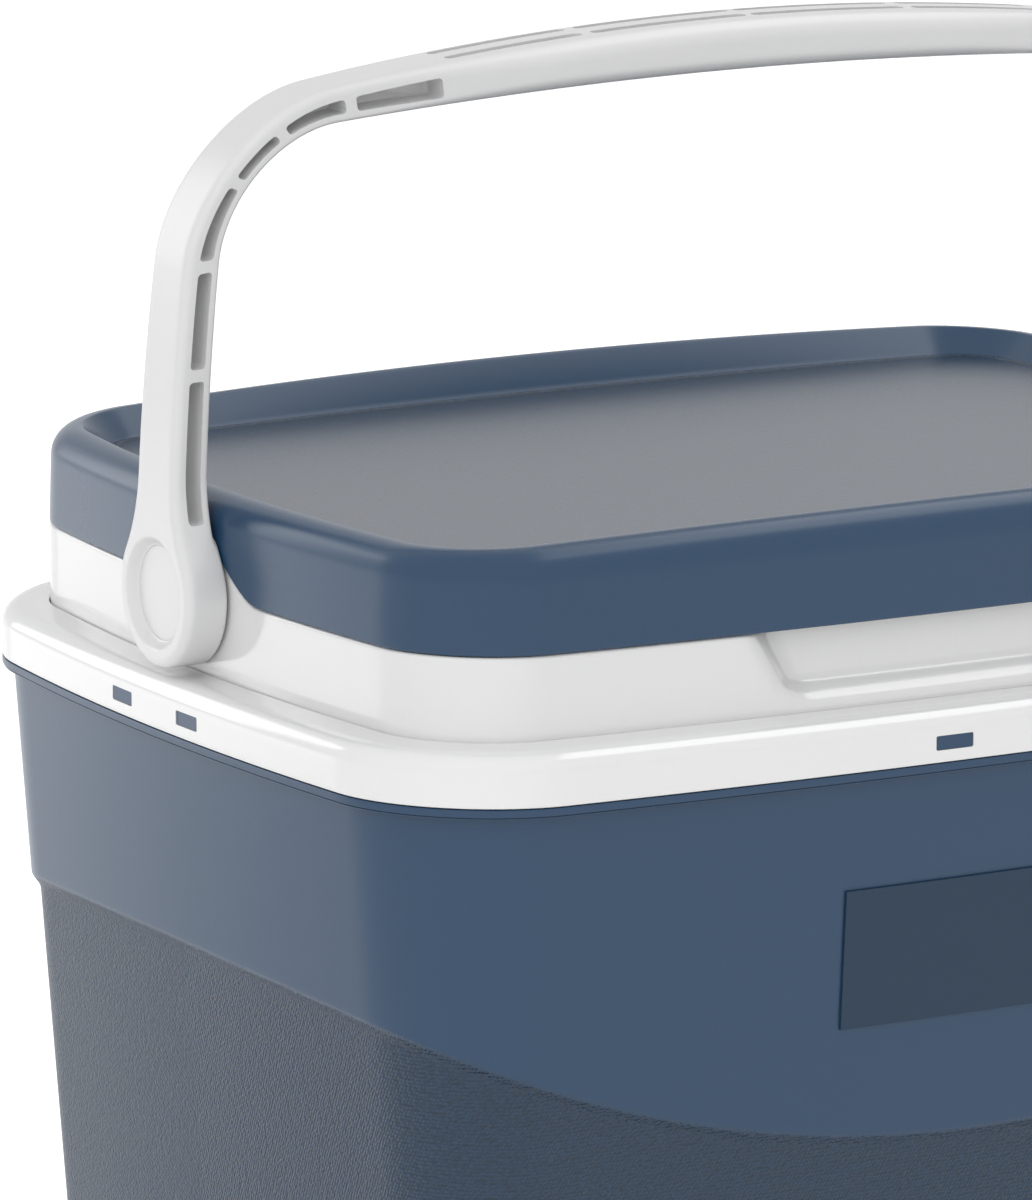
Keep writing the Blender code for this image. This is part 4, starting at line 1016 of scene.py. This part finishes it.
rows = [level_circle(BORE, PIN_SEAT[1]), level_circle(*PIN_SEAT), level_circle(PIN_SEAT[0], CAP_SEAT[1]),
        level_circle(*CAP_SEAT), level_circle(CAP_SEAT[0], DISH_FLOOR)]
for share in shares(DISH_ROWS):
    y, rise = circle(CAP_SEAT[0] + (DISH_RIM - CAP_SEAT[0]) * share)
    rows.append((y, rise, DISH_FLOOR + (face_x(rise) - DISH_FLOOR) * smooth(share)))
for share in shares(FACE_ROWS):
    y, rise = blend(circle(DISH_RIM), outer_ring, share)
    rows.append((y, rise, face_x(rise)))
outer_row = len(rows) - 1
for turn in shares(EDGE_POINTS - 1) * math.pi / 2:
    y, rise = hub_ring(OUTER_EDGE * (1 - math.sin(turn)), OUTER_EDGE)
    rows.append((y, rise, face_x(rise) - OUTER_EDGE * (1 - math.cos(turn))))
y, rise = hub_ring(0.0, INNER_EDGE)
for share in shares(SIDE_POINTS + 1)[:-1]:
    rows.append((y, rise, (1 - share) * (face_x(rise) - OUTER_EDGE) + share * (back_x(y, rise) + INNER_EDGE)))
for turn in np.linspace(0, math.pi / 2, EDGE_POINTS):
    y, rise = hub_ring(INNER_EDGE * (1 - math.cos(turn)), INNER_EDGE)
    rows.append((y, rise, back_x(y, rise) + INNER_EDGE * (1 - math.sin(turn))))
inner_row = len(rows) - 1
for share in shares(BACK_ROWS):
    y, rise = blend(inner_ring, circle(WASHER_SEAT[0]), share)
    rows.append((y, rise, back_x(y, rise)))
rows += [level_circle(*WASHER_SEAT), level_circle(BORE, WASHER_SEAT[1])]
hub_y, hub_rise, hub_x = (np.stack(part) for part in zip(*rows))
hub_faces = grid_faces(len(rows), len(heading), True).reshape(len(rows), len(heading), 4)
keep = np.ones(hub_faces.shape[:2], bool)
keep[outer_row:inner_row, :top_count] = False
keep[outer_row:inner_row, -1] = False
hub_faces = hub_faces[keep]
print("hub grid", hub_x.shape)

# %% [markdown]
# The pockets in the arms save plastic. Each is a rounded outline that follows the bar between its two long
# faces, and is carried into the side of the bar. Its floor is eased at the edge, as a mould needs.

# %% Pockets
POCKET_LENGTHS = (0.0456, 0.0307, 0.0258, 0.0188, 0.0230, 0.0312)
POCKET_START = 0.0239
POCKET_RIB = 0.0040
POCKET_OUTER, POCKET_INNER = 0.0044, 0.0027
POCKET_DEPTH = 0.0115
POCKET_CORNER = 0.0013
POCKET_CLEAR = POCKET_DEPTH + 0.003
POCKET_LIFT = np.array([0.0, 0.0, 0.0004, 0.0010, POCKET_CLEAR, POCKET_CLEAR])[:, None]
POCKET_SCALE = np.array([0.0, 0.88, 0.96, 1.0, 1.0, 0.0])[:, None]


def runs(points):
    """Distance along a row of points."""
    return np.concatenate([[0.0], np.cumsum(np.linalg.norm(np.diff(points, axis=0), axis=1))])


def along(points, place, distance):
    """Points at the given distances along a row of points."""
    return np.stack([np.interp(distance, place, values) for values in points.T], axis=-1)


def subdivided(u, v, parts):
    """A closed outline with each of its edges split into equal parts."""
    share = np.arange(parts)[None, :] / parts
    return [(line[:, None] * (1 - share) + np.roll(line, -1)[:, None] * share).ravel() for line in (u, v)]


outer_line = far - across * POCKET_OUTER
inner_line = near + across * POCKET_INNER
place = runs(outer_line)


def pocket(start, length):
    """A pocket's outline as x and rise above the pivot, and half the bar's width at each of its points.

    It is laid out along the bar from the arm's foot; what lies below the foot goes straight down.
    """
    middle = start + length / 2 - ARM_FOOT
    gap = float(np.interp(middle, place, bar_depth)) - POCKET_OUTER - POCKET_INNER
    u, v = subdivided(*rounded_rectangle(length, gap, POCKET_CORNER), 6)
    distance = np.maximum(middle + u, 0)
    share = (v / gap + 0.5)[:, None]
    points = along(inner_line, place, distance) * (1 - share) + along(outer_line, place, distance) * share
    points[:, 1] += np.minimum(middle + u, 0)
    return points, np.interp(distance, place, bar_half)


cutters = []
for side in (-1, 1):
    for face in (-1, 1):
        start = POCKET_START
        for length in POCKET_LENGTHS:
            points, half = pocket(start, length)
            middle = points.mean(axis=0)
            x, rise = (centre + (line - centre) * POCKET_SCALE for centre, line in zip(middle, points.T))
            cutters.append(patch(side * x, face * (half - POCKET_DEPTH + POCKET_LIFT), PIVOT + rise))
            start += length + POCKET_RIB
print(len(cutters), "pockets")

# %% [markdown]
# The grip's top has two rows of slots with round ends. They follow the bow of the grip, so that all are equally
# deep. With the pockets they make one cutter, and one Boolean takes them all out of the welded bar and hubs.

# %% Bail
SLOT_SPANS = ((0.0012, 0.0594), (0.0632, 0.1137))
SLOT_WIDTH = 0.0042
SLOT_ROW = 0.0057
SLOT_DEPTH = 0.0090
SLOT_CLEAR = 0.006
SLOT_ROUND = SLOT_WIDTH / 2 - 0.0001
SLOT_LEVEL = np.array([-SLOT_DEPTH, -SLOT_DEPTH, SLOT_CLEAR, SLOT_CLEAR])[:, None]
BAIL_WELD = 1e-5
grip_top = far[len(near) // 4:3 * len(near) // 4][::-1]
for row in (-1, 1):
    for side in (-1, 1):
        for low, high in SLOT_SPANS:
            u, v = subdivided(*rounded_rectangle(high - low, SLOT_WIDTH, SLOT_ROUND, 8), 3)
            middle = side * (low + high) / 2
            top = PIVOT + np.interp(middle + side * u, grip_top[:, 0], grip_top[:, 1])
            cutters.append(patch(middle + side * u * BLOCK_ENDS, row * SLOT_ROW + v * BLOCK_ENDS,
                                 top + SLOT_LEVEL))
print(len(cutters), "pockets and slots")
hubs = [(patch(side * hub_x, hub_y, PIVOT + hub_rise)[0], hub_faces) for side in (-1, 1)]
bail_mesh = carve(closed("bail", [bar] + hubs, BAIL_WELD), closed("pockets", cutters))
piece("bail", bail_mesh, bail_white, "bail", ["bail_handle"])

# %% [markdown]
# A small disc closes each hub. It is a turned shape: a profile carried round the pivot's axis.

# %% Hub caps
CAP_RADIUS = 0.01524
CAP_GAP = 0.0001
CAP_COLUMNS = 96
cap_back = CAP_SEAT[1] + CAP_GAP
cap_profile = rounded([(0.0, DISH_FLOOR, 0), (CAP_RADIUS, DISH_FLOOR, KEEN),
                       (CAP_RADIUS, cap_back, KEEN), (0.0, cap_back, 0)])
angle = np.linspace(0, 2 * math.pi, CAP_COLUMNS, endpoint=False)[None, :]
radius = cap_profile[:, :1]
for name, side in (("hub_cap_left", -1), ("hub_cap_right", 1)):
    disc = patch(side * cap_profile[:, 1:], radius * np.cos(angle), PIVOT + radius * np.sin(angle))
    piece(name.replace("hub_cap", "cap"), closed(name, [disc]), bail_white, "bail", [name])

# %% [markdown]
# The pieces inside the walls keep their solids: foam, gasket, pins, washers, plugs and the lid's pan hardly
# show. They still get finishes, made from the same few nodes.

# %% Finishes of the kept solids
foam = plain_plastic("foam", (0.70, 0.62, 0.42), 0.9, scale=900, strength=0.5)
rubber = plain_plastic("rubber", (0.10, 0.105, 0.11), 0.7)
pin_plastic = plain_plastic("pin_plastic", (0.34, 0.35, 0.36), 0.4)
KEPT = {"foam_core": (foam, "foam_cream"), "lid_foam": (foam, "foam_cream"),
        "lid_gasket": (rubber, "gasket_grey"), "lid_pan": (collar_white, "plastic_white"),
        "base_plug": (shell_blue, "shell_blue"), "lid_plug": (collar_white, "plastic_white"),
        "pivot_pin_left": (pin_plastic, "pin_grey"), "pivot_pin_right": (pin_plastic, "pin_grey"),
        "pivot_washer_left": (rubber, "gasket_grey"), "pivot_washer_right": (rubber, "gasket_grey")}
for name, (finish, slot) in KEPT.items():
    node = frame["nodes"][name]
    node.data.materials.clear()
    node.data.materials.append(finish)
print(len(KEPT), "solids finished")

# %% [markdown]
# The studio has a white surround. Rays from the camera, reflections and rays through glass see it at plain
# white. The light that it casts is another matter: it comes mostly from the camera's side, as from a wall of
# windows, and fades to nothing behind the chest. So the front, the end and the top differ in tone.

# %% Surround
WHITE = (1.0, 1.0, 1.0, 1.0)
WINDOW_SIDE = Vector((-0.60, -0.68, 0.41)).normalized()
WINDOW_LIGHT = 1.56
WINDOW_END = -0.15


def only_seen(tree, other, seen):
    """The value seen for camera, glossy and transmission rays; other, a number or a socket, for the rest."""
    path = add_node(tree, "ShaderNodeLightPath").outputs
    first = add_node(tree, "ShaderNodeMath", {0: path["Is Camera Ray"], 1: path["Is Glossy Ray"]},
                     operation='MAXIMUM')
    second = add_node(tree, "ShaderNodeMath", {0: first.outputs[0], 1: path["Is Transmission Ray"]},
                      operation='MAXIMUM')
    mix = add_node(tree, "ShaderNodeMapRange", {"Value": second.outputs[0], "To Min": other, "To Max": seen})
    return mix.outputs["Result"]


world = bpy.data.worlds.new("surround")
bpy.context.scene.world = world
world.use_nodes = True
tree = world.node_tree
direction = add_node(tree, "ShaderNodeTexCoord").outputs["Generated"]
towards = add_node(tree, "ShaderNodeVectorMath", {0: direction, 1: WINDOW_SIDE}, operation='DOT_PRODUCT')
bright = add_node(tree, "ShaderNodeMapRange",
                  {"Value": towards.outputs["Value"], "From Min": WINDOW_END, "To Max": WINDOW_LIGHT})
feed(tree, tree.nodes["Background"],
     {"Color": WHITE, "Strength": only_seen(tree, bright.outputs["Result"], 1.0)})
print("surround light up to", WINDOW_LIGHT)

# %% [markdown]
# The floor is a wide sheet of pale paper. A little glow, more for the camera than for the chest, lifts it to
# white, and the chest's own shadow stays on it.

# %% Floor
FLOOR_HALF = 15.0
FLOOR_TONE = 0.80
FLOOR_FILL = 0.25
FLOOR_LIFT = 0.66
corners = [(-FLOOR_HALF, -FLOOR_HALF, 0), (FLOOR_HALF, -FLOOR_HALF, 0),
           (FLOOR_HALF, FLOOR_HALF, 0), (-FLOOR_HALF, FLOOR_HALF, 0)]
floor_mesh = bpy.data.meshes.new("floor")
floor_mesh.from_pydata(corners, [], [(0, 1, 2, 3)])
floor = shown("floor", floor_mesh)
paper, tree, shader = principled("paper", 3 * (FLOOR_TONE,), 0.9, shine=0.0)
feed(tree, shader, {"Emission Color": WHITE, "Emission Strength": only_seen(tree, FLOOR_FILL, FLOOR_LIFT)})
floor_mesh.materials.append(paper)
print("floor %.0f m wide" % (2 * FLOOR_HALF))

# %% [markdown]
# Three lamps add what gloss needs, and little light. A strip hangs overhead, so that the rounds of the lid
# shine. A low strip stands on the floor, behind on the left, and the glossy end walls mirror it. A box higher
# up and further back does the same for the arm of the bail, which leans in. Each has a place, a size, a power
# in watts and a point that it looks at.

# %% Lamps
LAMPS = {"top_strip": ((1.13, -0.20, 2.30), (2.0, 0.8), 10.0, (0.0, 0.0, 0.35)),
         "end_strip": ((-0.76, 1.02, 0.12), (0.76, 0.22), 0.3, (-0.20, 0.0, 0.12)),
         "arm_box": ((-1.20, 2.05, 1.00), (1.0, 1.4), 8.5, (-0.20, 0.0, 0.45))}
for name, (spot, size, power, target) in LAMPS.items():
    lamp = bpy.data.lights.new(name, 'AREA')
    lamp.shape = 'RECTANGLE'
    lamp.size, lamp.size_y = size
    lamp.energy = power
    holder = shown(name, lamp)
    holder.location = spot
    holder.rotation_euler = (Vector(spot) - Vector(target)).to_track_quat('Z', 'Y').to_euler()
print(len(LAMPS), "lamps")

# %% [markdown]
# The camera stands far off with a long lens, left of the chest's front and a little above it, as in the
# photograph. Its place was found by fitting the outlines of the collar and the lid.

# %% Camera
AZIMUTH = math.radians(-29.889)
ELEVATION = math.radians(11.631)
DISTANCE = 2.9387
AIM = Vector((-0.0842, 0.0, SEAM + 0.0280))
SENSOR_HEIGHT = 36.0
FOCAL_LENGTH = 270.0
flat = math.cos(ELEVATION)
back = Vector((flat * math.sin(AZIMUTH), -flat * math.cos(AZIMUTH), math.sin(ELEVATION)))
lens = bpy.data.cameras.new("camera")
lens.sensor_fit = 'VERTICAL'
lens.sensor_height = SENSOR_HEIGHT
lens.lens = FOCAL_LENGTH
camera = shown("camera", lens)
camera.location = AIM + back * DISTANCE
camera.rotation_euler = back.to_track_quat('Z', 'Y').to_euler()
bpy.context.scene.camera = camera
bpy.context.scene.view_settings.view_transform = 'Standard'
print("camera %.2f m away" % DISTANCE)
